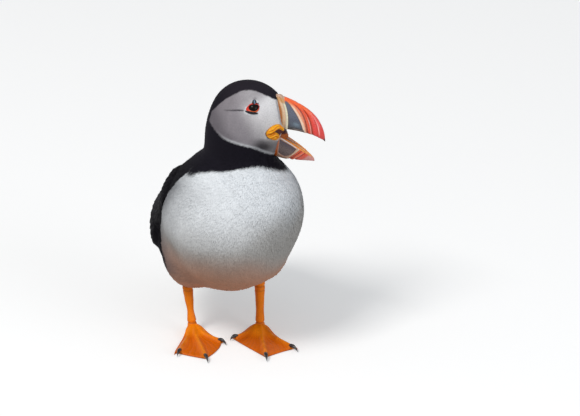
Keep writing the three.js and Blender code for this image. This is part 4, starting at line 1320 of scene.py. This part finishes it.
def flattened(sheets, colours, chart):
    """Sheets (n, stations, across, 3) as points, faces, colours and a place on the chart per point."""
    n, stations, across = sheets.shape[:3]
    faces = sheet_faces(stations, across)[None] + stations * across * np.arange(n)[:, None, None]
    s, q = np.meshgrid(np.linspace(0, 1, stations), np.linspace(-0.5, 0.5, across), indexing="ij")
    patch = np.stack([q, -s], -1) * 0.003
    uv = chart[:, None, None, :] + patch
    return sheets.reshape(-1, 3), faces.reshape(-1, 4), colours.reshape(-1, 3), uv.reshape(-1, 2)


def barbed(base, tip, stations, across, n, dice, edge=0.85):
    """Colours (n, stations, across, 3): base to tip colour, paler at the edges, varied by feather."""
    s = np.linspace(0, 1, stations)[None, :, None]
    q = np.linspace(-1, 1, across)[None, None, :]
    tone = dice.uniform(0.85, 1.15, (n, 1, 1)) * (1 + 0.35 * np.abs(q) ** 3 * edge) * (0.8 + 0.2 * s)
    return mixed(base, tip, np.broadcast_to(s ** 3, tone.shape)) * tone[..., None]


def joined(parts):
    """Joins the (points, faces, colours, uv) arrays of several groups into one."""
    starts = np.cumsum([0] + [len(p[0]) for p in parts[:-1]])
    return (np.concatenate([p[0] for p in parts]),
            [p[1] + start for p, start in zip(parts, starts)],
            np.concatenate([p[2] for p in parts]), np.concatenate([p[3] for p in parts]))


# %% Coverts in staggered rows, then secondaries and primaries
COVERT, COVERT_TIP = srgb("#0b0a0e"), srgb("#18161b")
FLIGHT, FLIGHT_TIP = srgb("#100e11"), srgb("#2b2421")
# from t, to t, mm between rows, mm between feathers, mm long, mm wide
COVERT_ROWS = [(-0.04, 0.30, 2.3, 2.2, 7.5, 3.6), (0.26, 0.46, 3.2, 2.9, 10.5, 4.6),
               (0.44, 0.56, 4.6, 3.6, 16, 5.8)]
COVERT_NET, QUILL_NET = (6, 5), (22, 7)  # stations along and points across a feather


def wing_chart(t_root, w_root):
    """Where a wing feather's root lies on the chart."""
    return np.stack([0.25 + 0.2 * w_root, t_root], -1)


def covert_group(word, rows, dice):
    """Staggered rows of small sheets across the leaf between two values of t."""
    first, last, row_gap, gap, length, width = rows
    t_root, w_root = [], []
    for number, t in enumerate(np.arange(first, last, row_gap / WING_LENGTH)):
        spread = float(half_width(t, 1.0) + half_width(t, -1.0)) / 2 * 1.05
        steps = np.arange(-spread, spread, gap) + (number % 2) * gap / 2
        t_root.append(np.full(len(steps), t))
        w_root.append(steps / spread * 1.08)
    t_root, w_root = np.concatenate(t_root), np.concatenate(w_root)
    n = len(t_root)
    t_root = t_root + dice.normal(0, 0.35, n) / WING_LENGTH
    half = half_width(t_root, w_root)
    w_moved = w_root + dice.normal(0, 0.25, n) / half
    lengths = length / WING_LENGTH * dice.uniform(0.85, 1.1, n)
    widths = width / half * dice.uniform(0.9, 1.1, n)
    sheets = feather_sheets(partial(on_wing, word), t_root, w_moved, lengths, widths, *COVERT_NET,
                            (0.8, 1.0, 0.12), bend=dice.normal(0, 0.02, n))
    return flattened(sheets, barbed(COVERT, COVERT_TIP, *COVERT_NET, n, dice), wing_chart(t_root, w_root))


def quill_group(word, count, root, tip, width, lifts, dice):
    """Long feathers in a fan. root and tip = t and w of the first, and how much the last has more."""
    rank = np.linspace(0, 1, count)
    t_root, w_root, t_tip, w_tip = (start + more * rank for start, more in (*root, *tip))
    sheets = feather_sheets(partial(on_wing, word), t_root, w_root, t_tip - t_root,
                            width / half_width(t_root, w_root), *QUILL_NET, lifts, taper=0.8,
                            bend=w_tip - w_root)
    return flattened(sheets, barbed(FLIGHT, FLIGHT_TIP, *QUILL_NET, count, dice), wing_chart(t_root, w_root))


wing_pieces, pad_pieces = [], []
for word, side in SIDES.items():
    dice = np.random.default_rng(40 + side)
    pad = wing_pad(word)
    pad_pieces.append(closed_piece("wing_pad_" + word, pad, np.broadcast_to(COVERT * 0.8, pad.shape),
                                   "flight_feathers", "wing_" + word))
    groups = [quill_group(word, 9, ((0.5, 0.1), (-0.75, 0.5)), ((0.9, 0.14), (-0.95, 0.85)), 7.5,
                          (0.72, 0.95, 0.1), dice),  # primaries
              quill_group(word, 13, ((0.42, 0.06), (-0.98, 1.7)), ((0.70, 0.14), (-1.06, 1.75)), 8.0,
                          (0.8, 1.0, 0.35), dice)]  # secondaries
    groups = groups + [covert_group(word, rows, dice) for rows in COVERT_ROWS[::-1]]
    points, faces, colours, chart = joined(groups)
    feathers = make_piece("wing_feathers_" + word, points, faces, colours, uv=chart)
    wing_pieces.append(placed(feathers, "flight_feathers", "wing_" + word))
    print("wing", word, sum(len(f) for f in faces), "quads")

# %% [markdown]
# ## Tail
# Sixteen short, stiff, dark feathers in a slightly arched fan, the middle pair on top. Coverts of
# the rump hide their roots above, and the white feathers under the tail hide them below.

# %% The tail's fan
TAIL_ROOT, TAIL_TIP = (-60, 57), (-101, 37)  # forward and up on the trunk
TAIL_HALVES = (9.0, 15.0)  # half width at the root and at the tip
TAIL_ARCH = 0.012
TAIL_COUNT, TAIL_NET = 16, (24, 7)


def on_tail(t, w, share, extra):
    """Forward and up along the tail's line, w across its half width, arched by 0.012 across^2."""
    half = TAIL_HALVES[0] + (TAIL_HALVES[1] - TAIL_HALVES[0]) * t
    run, fall = TAIL_ROOT[0] - TAIL_TIP[0], TAIL_TIP[1] - TAIL_ROOT[1]
    across = w * half
    forward = TAIL_ROOT[0] - run * t
    up = TAIL_ROOT[1] + fall * t - TAIL_ARCH * across ** 2
    rise = np.array([fall, 0, run]) / np.hypot(run, fall)
    return on_trunk(np.stack([forward, across, up], -1) + rise * (share + extra)[..., None])


dice = np.random.default_rng(77)
rank = np.concatenate([np.linspace(-1, 0, 8), np.linspace(1, 0, 8)]) * 0.94
outer = np.abs(rank)
sheets = feather_sheets(on_tail, np.full(TAIL_COUNT, -0.1), rank * 0.9, 1.1 - 0.14 * outer ** 2,
                        np.full(TAIL_COUNT, 0.36), *TAIL_NET, (-0.5, -0.1, 0.0), taper=0.82)
sheets = sheets + (TRUNK[2] * (0.9 - outer)[:, None, None, None] * 0.9)  # the middle pair on top
colours = barbed(FLIGHT, FLIGHT_TIP, *TAIL_NET, TAIL_COUNT, dice)
chart = np.stack([0.5 + 0.1 * rank, np.full(TAIL_COUNT, 0.02)], -1)
points, faces, colours, chart = flattened(sheets, colours, chart)
tail = placed(make_piece("tail_feathers", points, [faces], colours, uv=chart), "flight_feathers", "tail")
print("tail:", len(faces), "quads")

# %% [markdown]
# ## Legs and webbed feet
# The bare shank is a bone in orange skin: thick at the joint above, slim in the middle, with a row
# of broad scales down the front and a crease where it meets the foot. The foot is drawn in polar
# coordinates about the ankle: its reach follows the toes' ends and the web between them, and its
# height is a cone at the ankle, a ridge along each toe with a knuckle at each joint, and a thin web
# with pleats. Claws are short, black and hooked, and grow out on top of the toes.

# %% Shanks
ANKLES = {"right": (-24, 0), "left": (21, 0)}  # x and y over the floor
HOCKS = {"right": (-29, 7), "left": (20.8, 7)}
HOCK_UP, ANKLE_UP = 44, 7
SLIMMEST = {"right": 2.25, "left": 2.7}  # radius of the bone's slim part
SCALE_TALL, SCALE_STEP = 2.3, 0.24  # mm
CREASES = [(8.1, 0.45, 0.5, 0.8), (33.0, 0.3, 0.6, 0.6), (30.2, 0.2, 0.5, 0.4)]  # up, deep, half, dark
SHANK_ORANGE, SHANK_SHADE = srgb("#ff8a0a"), srgb("#ac5008")


def tube(path, radius, rows, columns):
    """Rings about a path: path(t) gives points, and radius(t, angle) the distance from it."""
    t, angle = round_grid(rows, columns)
    middle = path(t)
    along = unit(np.gradient(middle, axis=0))
    side = unit(np.cross(along, np.array([0, 1.0, 0.0])))
    other = np.cross(along, side)
    size = radius(t, angle)[..., None]
    points = middle + side * np.cos(angle)[..., None] * size + other * np.sin(angle)[..., None] * size
    return points, t, angle


def shank(word):
    """Radius 2.25 to 3.9 mm, with scales down the front: a saw of 0.24 mm that repeats each 2.3 mm."""
    foot = np.array([*ANKLES[word], ANKLE_UP - 3.0])
    hock = np.array([*HOCKS[word], HOCK_UP + 3.0])

    def radius(t, angle):
        """The bone's outline, plus the scales in front and fine wrinkles behind, less the creases."""
        front = smoothstep(np.sin(angle), 0.2, -0.7)
        size = ramp(t, [(0, 3.9), (0.09, 3.2), (0.28, SLIMMEST[word]), (0.48, 3.0), (0.62, 3.5), (1, 3.7)])
        up = foot[2] + (hock[2] - foot[2]) * t
        scales = SCALE_STEP * ((up / SCALE_TALL) % 1 - 0.5) * front
        scales = scales + 0.05 * np.sin(up * 5.2 + 3 * np.sin(angle * 4)) * (1 - front)
        cut = 0
        for crease_up, deep, half, _ in CREASES:
            cut = cut - deep * bell(up - crease_up, half)
        return (size + scales + cut) * np.sin(np.pi * np.clip(t, 0.001, 0.999)) ** 0.05

    points, _, angle = tube(lambda t: mixed(foot, hock, t), radius, 150, 60)
    up = points[..., 2]
    seam = smoothstep((up / SCALE_TALL) % 1, 0.12, 0.0) * smoothstep(np.sin(angle), 0.4, -0.6)
    in_creases = [(SHANK_SHADE, dark * bell(up - crease_up, 0.45)) for crease_up, _, _, dark in CREASES]
    colours = painted(SHANK_ORANGE, (SHANK_SHADE, np.clip(0.7 * seam, 0, 1)), *in_creases,
                      ("#e67008", 0.5 * smoothstep(wander(points, 6, 51), -0.2, 1.0)))
    return points, colours


# %% How far a foot reaches
# bearing in degrees from straight ahead towards +X, length to the claw's base, reach of the claw
TOES = {
    "right": {"outer": (-14, 34, 5.5), "middle": (13, 42, 7), "inner": (48, 26, 4.5)},
    "left": {"inner": (-56, 20.5, 3.5), "middle": (6, 39, 7), "outer": (39, 34, 6)},
}
JOINTS = {"outer": (0.3, 0.52, 0.72, 0.9), "middle": (0.38, 0.66, 0.9), "inner": (0.5, 0.88)}  # of the length
WEB_BULGE = {"right": (0.04, 0.28), "left": (0.04, -0.08)}  # beyond the chord, for each of the two webs
HEEL = 5
TOE_PAD = 1.2  # mm that the outermost toes are wider at half their length
WEB_THICK = 1.3
TOE_RIDGE, TOE_HALF = 2.4, 2.3
TOE_SCALE = 1.15  # mm between the scales along a toe
FOOT_ORANGE, WEB_ORANGE, FOOT_CREASE = srgb("#fa8a02"), srgb("#e06a00"), srgb("#7c3800")


def foot_reach(toes, bearing, bulges):
    """How far the foot reaches: chords between toe ends times 1 + bulge s (1 - s), and a round heel."""
    (b0, l0, _), (b1, l1, _), (b2, l2, _) = toes
    past = np.where(bearing < b0, b0 - bearing, bearing - b2)
    near = np.where(bearing < b0, l0, l2)
    aside = np.sin(np.radians(np.clip(past, 0, 90)))
    straight = TOE_HALF / np.maximum(aside, TOE_HALF / near)
    share = straight / near
    reach = np.maximum(straight * (1 + TOE_PAD / TOE_HALF * 4 * share * (1 - share)), HEEL)
    for (a, la), (b, lb), bulge in (((b0, l0), (b1, l1), bulges[0]), ((b1, l1), (b2, l2), bulges[1])):
        before, after = np.radians(bearing - a), np.radians(b - bearing)
        share = (bearing - a) / (b - a)
        chord = la * lb * np.sin(np.radians(b - a)) / (la * np.sin(before) + lb * np.sin(after) + 1e-9)
        inside = (bearing >= a) & (bearing <= b)
        reach = np.where(inside, chord * (1 + bulge * share * (1 - share)), reach)
    return reach, np.clip(past, 0, 180)


def toe_relief(toes, bearing, distance):
    """A ridge along each toe with a knuckle at each joint, a mask of the toes, and their scales."""
    ridge, on_toe, scale = 0, 0, 0
    for name, (toe_bearing, length, _) in toes.items():
        off = np.radians(bearing - toe_bearing)
        aside = np.where(np.cos(off) > 0, np.abs(np.sin(off)) * distance, distance)
        along = np.cos(off) * distance / length
        joints = sum(bell(along - place, 0.035) for place in JOINTS[name])
        ridge = np.maximum(ridge, np.exp(-1.4 * (aside / TOE_HALF) ** 2) * (0.92 + 0.1 * joints))
        on_toe = np.maximum(on_toe, bell(aside, 1.6))
        step = (along * length / TOE_SCALE) % 1 - 0.5
        scale = scale + 0.12 * step * bell(aside, 1.5) * smoothstep(along, 0.12, 0.2)
    return ridge, on_toe, scale


# %% Feet


def foot(word):
    """Rows from the ankle's top over the upper face to the rim, and back under the sole."""
    toes = sorted(TOES[word].values())
    b0, b1, b2 = (toe[0] for toe in toes)
    upper_rows, columns = 84, 260
    rows = upper_rows + 3
    behind = (360 - b2 + b0) / 2
    row, column = np.meshgrid(np.arange(rows), np.arange(columns), indexing="ij")
    sole = row > upper_rows
    bearing = through(column / columns, [(0, b0 - behind), (0.13, b0 - 12), (0.2, b0), (0.5, b1), (0.8, b2),
                                         (0.87, b2 + 12), (1, b2 + behind)])
    over = np.minimum(row / upper_rows, 1) ** 1.25
    under = np.where(sole, (rows - 1 - row) / 2, 1)
    reach, past = foot_reach(toes, bearing, WEB_BULGE[word])
    distance = reach * np.where(sole, under * 0.995, over)
    cone = (ANKLE_UP - WEB_THICK) * np.exp(-(np.maximum(distance - 2.6, 0) / 7.5) ** 2)
    ridge, on_toe, scale = toe_relief(TOES[word], bearing, distance)
    x = ANKLES[word][0] + np.sin(np.radians(bearing)) * distance
    y = ANKLES[word][1] - np.cos(np.radians(bearing)) * distance
    fold = np.sin(bearing * 0.9 + 2 * np.sin(distance * 0.22))
    pleats = 0.07 * fold + 0.05 * np.sin(distance * 2.6 + bearing * 0.2)
    web = smoothstep(distance, 8, 16) * (1 - on_toe)
    ahead = WEB_THICK + np.hypot(cone, TOE_RIDGE * ridge) + scale + pleats * web
    rim = smoothstep(over, 1.0, 0.965) ** 0.6
    ahead = 0.35 + (np.minimum(ahead, ANKLE_UP + 0.5) - 0.35) * rim
    heel = (WEB_THICK + (ANKLE_UP - WEB_THICK) * (1 - over ** 2.6)) * rim
    share_behind = smoothstep(past, 20, 70) * ((bearing < b0) | (bearing > b2))
    height = np.where(sole, 0, ahead * (1 - share_behind) + heel * share_behind)
    points = np.stack([x, y, height], -1)
    colours = painted(
        WEB_ORANGE,
        (FOOT_ORANGE, np.clip(on_toe + smoothstep(distance, 14, 7), 0, 1)),
        # a painted highlight along the top of each toe
        ("#fb9010", 0.5 * smoothstep(on_toe, 0.75, 1.0) * smoothstep(distance, 8, 14)),
        (FOOT_CREASE, 0.14 * web * smoothstep(fold, -0.5, -1.0)),
        (FOOT_CREASE, 0.28 * smoothstep(-scale, 0.02, 0.06)),
        ("#c05400", 0.45 * smoothstep(wander(points, 9, 52), 0.0, 1.2)),
        (FOOT_CREASE, 0.5 * sole))
    return points, colours


# %% Claws


def claw(word, bearing, length, reach):
    """A hook on a quadratic curve, from the toe's top to just over the floor."""
    turn = np.radians(bearing)
    ahead = np.array([np.sin(turn), -np.cos(turn), 0])
    ankle = np.array([*ANKLES[word], 0.0])
    start, over, end = (ankle + ahead * far + [0, 0, up] for far, up in
                        ((length - 2.4, 2.3), (length + reach * 0.55, 4.6), (length + reach, 0.45)))

    def path(t):
        """The three places weighted by the terms of ((1 - t) + t) ^ 2."""
        t = t[..., None]
        return start * (1 - t) ** 2 + 2 * over * t * (1 - t) + end * t ** 2

    def radius(t, angle):
        """From 1.4 mm at the root to a fine point, closed at both ends and a little oval."""
        size = ramp(t, [(0, 1.4), (0.3, 1.3), (0.65, 0.8), (1, 0.15)])
        return size * np.sin(np.pi * np.clip(t, 0.0, 0.999) ** 0.5) ** 0.25 * (1 + 0.04 * np.cos(angle * 2))

    points, t, _ = tube(path, radius, 34, 22)
    points[0], points[-1] = points[0].mean(0), points[-1].mean(0)
    colours = painted(srgb("#1b1a1f"), ("#100f12", t), ("#7a3d12", 0.6 * smoothstep(t, 0.1, 0.0)))
    return points, colours


# %% Both legs
leg_pieces, claw_pieces = [], []
for word in SIDES:
    for name, build in (("tarsus", shank), ("foot", foot)):
        points, colours = build(word)
        leg_pieces.append(closed_piece(name + "_skin_" + word, points, colours, "foot_skin",
                                       name + "_" + word))
    for toe, (bearing, length, reach) in TOES[word].items():
        points, colours = claw(word, bearing, length, reach)
        claw_pieces.append(closed_piece("claw_horn_" + toe + "_" + word, points, colours, "claw",
                                        "claw_" + toe + "_" + word))
print("leg pieces:", len(leg_pieces), "claws:", len(claw_pieces))

# %% [markdown]
# ## Finishes
# Every surface of the bird takes its colour from the point colours of its mesh. A noise of the
# surface's own grain then varies the tone a little and raises a fine bump. `grained` sets up that
# much, and each finish adds how rough and how glossy it is.

# %% What all finishes share
GRAIN_LOW, GRAIN_HIGH = 0.3, 0.7  # nearly all of a noise's values lie between these
BUMP_TALL = 0.2 * MM


def grained(name, grain_mm, detail, tones, bump_strength):
    """A new material, its grain and its shader: the point colour times a noise of grain_mm.

    tones = what the colour is multiplied by where the noise is low and where it is high.
    """
    material = bpy.data.materials.new(name)
    material.use_nodes = True
    tree = material.node_tree
    tree.nodes.clear()
    colour = add_node(tree, "ShaderNodeAttribute", attribute_name="colour")
    place = add_node(tree, "ShaderNodeTexCoord")
    grain = add_node(tree, "ShaderNodeTexNoise", {"Vector": place.outputs["Object"],
                                                  "Scale": 1000 / grain_mm, "Detail": detail})
    tone = add_node(tree, "ShaderNodeMapRange", {
        "Value": grain.outputs["Fac"], "From Min": GRAIN_LOW, "From Max": GRAIN_HIGH,
        "To Min": tones[0], "To Max": tones[1]})
    varied = add_node(tree, "ShaderNodeVectorMath", {0: colour.outputs["Color"],
                                                     1: tone.outputs["Result"]}, operation="MULTIPLY")
    bump = add_node(tree, "ShaderNodeBump", {"Height": grain.outputs["Fac"], "Strength": bump_strength,
                                             "Distance": BUMP_TALL})
    shader = add_node(tree, "ShaderNodeBsdfPrincipled", {"Base Color": varied.outputs["Vector"],
                                                         "Normal": bump.outputs["Normal"]})
    add_node(tree, "ShaderNodeOutputMaterial", {"Surface": shader.outputs[0]})
    return material, grain, shader


def finish(pieces, material):
    """Gives each piece its one material."""
    for piece in pieces:
        piece.data.materials.append(material)


# %% [markdown]
# Feathers are keratin in fine barbs. Contour feathers scatter light and look matt; flight feathers
# are stiffer, with barbs hooked flat together, so they are slicker. Hair strands could draw single
# barbs, but the vanes are meshes already, and a noise is enough at this size. Real barbs are about
# 0.1 mm apart, too fine to show, so they are drawn six to eight times as coarse.

# %% Feathers


def feather_keratin(name, roughness, shine, barb_mm):
    """Matt barbs: a tone that varies, a fine bump and a faint shine."""
    material, _, shader = grained(name, barb_mm, 2.0, (0.9, 1.06), 0.35)
    shader.inputs["Roughness"].default_value = roughness
    shader.inputs["Specular IOR Level"].default_value = shine
    return material


finish([skin, *coat], feather_keratin("contour_feather_keratin", 0.75, 0.06, 0.8))
finish([*wing_pieces, *pad_pieces, tail], feather_keratin("flight_feather_keratin", 0.6, 0.03, 0.6))

# %% [markdown]
# Bill horn is keratin too, but laid down in dense plates: smooth, waxy, glossier where it is worn,
# with growth lines about a millimetre apart. The same noise that varies the tone also varies how
# rough the horn is, under a thin clear coat, because worn horn shines in patches.

# %% Bill horn


def glossy_keratin(name, roughness, coat_weight, grain_mm, bump_strength, shine=0.5):
    """Dense keratin or skin: a grain that varies tone and roughness, under a clear worn coat."""
    material, grain, shader = grained(name, grain_mm, 3.0, (0.88, 1.08), bump_strength)
    worn = add_node(material.node_tree, "ShaderNodeMapRange", {
        "Value": grain.outputs["Fac"], "From Min": GRAIN_LOW, "From Max": GRAIN_HIGH,
        "To Min": roughness - 0.06, "To Max": roughness + 0.08})
    material.node_tree.links.new(worn.outputs["Result"], shader.inputs["Roughness"])
    shader.inputs["Specular IOR Level"].default_value = shine
    shader.inputs["Coat Weight"].default_value = coat_weight
    shader.inputs["Coat Roughness"].default_value = 0.12
    return material


finish([bill_upper, bill_lower], glossy_keratin("bill_plate_keratin", 0.3, 0.4, 1.1, 0.2))

# %% [markdown]
# Bare skin round the eye and at the gape is soft and moist: fine wrinkles about half a millimetre
# apart, and a damp shine. The mouth's lining is in shade, and duller. Lid plates are small pieces of
# horn. The eyeball is a wet, nearly black bead with no bumps: one clear highlight tells its shape.

# %% Bare skin, mouth, lid plates and eyeballs
finish([*lid_pieces, *gape_pieces], glossy_keratin("moist_bare_skin", 0.42, 0.06, 0.6, 0.35, shine=0.3))
finish([lining], glossy_keratin("damp_mouth_lining", 0.5, 0.0, 0.8, 0.3, shine=0.2))
finish(plate_pieces, glossy_keratin("lid_plate_horn", 0.34, 0.08, 0.7, 0.2, shine=0.25))
finish(eye_pieces, glossy_keratin("wet_eyeball", 0.15, 0.0, 2.0, 0.0, shine=0.1))

# %% [markdown]
# The skin of legs and feet is leathery, with fine scales about 0.7 mm across that break up its
# shine. Claws are dense black horn, worn smooth, so they keep a sharp glint.

# %% Legs and claws
finish(leg_pieces, glossy_keratin("scaly_foot_skin", 0.45, 0.0, 0.7, 0.5, shine=0.22))
finish(claw_pieces, glossy_keratin("black_claw_horn", 0.35, 0.3, 0.5, 0.2))

# %% [markdown]
# ## Floor, light and camera
# A plain pale floor that runs up into a backdrop, one large soft lamp up to the left, as daylight
# falls from there, a weak fill from the right and a pale world. The camera is far away with a long
# lens and looks down by 24 degrees. The floor shows white to the camera, but keeps the shadow.

# %% Camera
VIEW_DOWN = 24  # degrees below the horizon
VIEW_DISTANCE = 3000  # mm
VIEW_WIDTH = 382.8  # mm that the picture spans at the bird
SENSOR = 36  # mm
aim_at = np.array([41.0, 0.0, 91.25])
look = np.array([0, np.cos(np.radians(VIEW_DOWN)), -np.sin(np.radians(VIEW_DOWN))])
camera_data = bpy.data.cameras.new("camera")
camera_data.sensor_width = SENSOR
camera_data.lens = SENSOR * VIEW_DISTANCE / VIEW_WIDTH
camera_data.clip_start, camera_data.clip_end = 0.1, 30
camera = bpy.data.objects.new("camera", camera_data)
camera.location = Vector((aim_at - VIEW_DISTANCE * look - SHIFT) * MM)
camera.rotation_mode = "QUATERNION"
camera.rotation_quaternion = Vector(look).to_track_quat("-Z", "Y")
bpy.context.scene.collection.objects.link(camera)
bpy.context.scene.camera = camera
print("lens mm:", round(camera_data.lens, 1))

# %% Floor and backdrop


def share_seen(tree):
    """1 for the rays that the camera, a mirror or a lens sends out, 0 for light that bounces softly."""
    sent = add_node(tree, "ShaderNodeLightPath").outputs
    direct = add_node(tree, "ShaderNodeMath", {0: sent["Is Camera Ray"], 1: sent["Is Glossy Ray"]},
                      operation="MAXIMUM")
    every = add_node(tree, "ShaderNodeMath", {0: direct.outputs[0], 1: sent["Is Transmission Ray"]},
                     operation="MAXIMUM")
    return every.outputs[0]


# metres: the near edge, where the bend starts, its radius, the wall's top, and half the width
FLOOR_NEAR, FLOOR_FAR, FLOOR_BEND, WALL_UP, FLOOR_HALF = -6.0, 2.5, 1.5, 6.0, 7.0
turn = np.linspace(0, np.pi / 2, 24)
arc = [(FLOOR_FAR + FLOOR_BEND * np.sin(t), FLOOR_BEND - FLOOR_BEND * np.cos(t)) for t in turn]
profile = np.array([(FLOOR_NEAR, 0.0), *arc, (FLOOR_FAR + FLOOR_BEND, WALL_UP)])
across = np.array([-FLOOR_HALF, FLOOR_HALF])
floor_points = np.stack([np.repeat(across, len(profile)), np.tile(profile[:, 0], 2),
                         np.tile(profile[:, 1], 2)], -1)
floor = make_piece("floor", floor_points * 1000 + SHIFT, [sheet_faces(2, len(profile))[:, ::-1]],
                   np.ones((len(floor_points), 3)) * 0.8)

floor_paint = bpy.data.materials.new("matt_white_paper")
floor_paint.use_nodes = True
tree = floor_paint.node_tree
tree.nodes.clear()
seen = share_seen(tree)
paper = add_node(tree, "ShaderNodeBsdfDiffuse", {"Color": (0.82, 0.82, 0.82, 1)})
glow = add_node(tree, "ShaderNodeEmission", {"Color": (1, 1, 1, 1), "Strength": 0.32})
both = add_node(tree, "ShaderNodeAddShader", {0: paper.outputs[0], 1: glow.outputs[0]})
bounce = add_node(tree, "ShaderNodeBsdfDiffuse", {"Color": (0.44, 0.41, 0.38, 1)})
choice = add_node(tree, "ShaderNodeMixShader", {0: seen, 1: bounce.outputs[0], 2: both.outputs[0]})
add_node(tree, "ShaderNodeOutputMaterial", {"Surface": choice.outputs[0]})
floor.data.materials.append(floor_paint)

# %% Lamps and world
BREAST_AT = Vector((0, 0, 0.1))


def area_lamp(name, at, size, power, color):
    """A square soft lamp that faces the bird's breast."""
    data = bpy.data.lights.new(name, "AREA")
    data.size, data.energy, data.color = size, power, color
    lamp = bpy.data.objects.new(name, data)
    lamp.location = at
    lamp.rotation_mode = "QUATERNION"
    lamp.rotation_quaternion = (BREAST_AT - Vector(at)).to_track_quat("-Z", "Y")
    bpy.context.scene.collection.objects.link(lamp)


# metres across, watts, and a warm or a cool white
area_lamp("window", (-1.1, -1.3, 2.3), 0.9, 43, (1.0, 0.98, 0.95))
area_lamp("fill", (1.8, -1.4, 0.9), 1.4, 14, (0.93, 0.96, 1.0))
world = bpy.data.worlds.new("studio")
bpy.context.scene.world = world
world.use_nodes = True
tree = world.node_tree
tree.nodes.clear()
seen = share_seen(tree)
white = add_node(tree, "ShaderNodeBackground", {"Color": (1, 1, 1, 1), "Strength": 1.0})
dim = add_node(tree, "ShaderNodeBackground", {"Color": (0.9, 0.95, 1.0, 1), "Strength": 0.42})
choice = add_node(tree, "ShaderNodeMixShader", {0: seen, 1: dim.outputs[0], 2: white.outputs[0]})
add_node(tree, "ShaderNodeOutputWorld", {"Surface": choice.outputs[0]})
bpy.context.scene.view_settings.view_transform = "Standard"
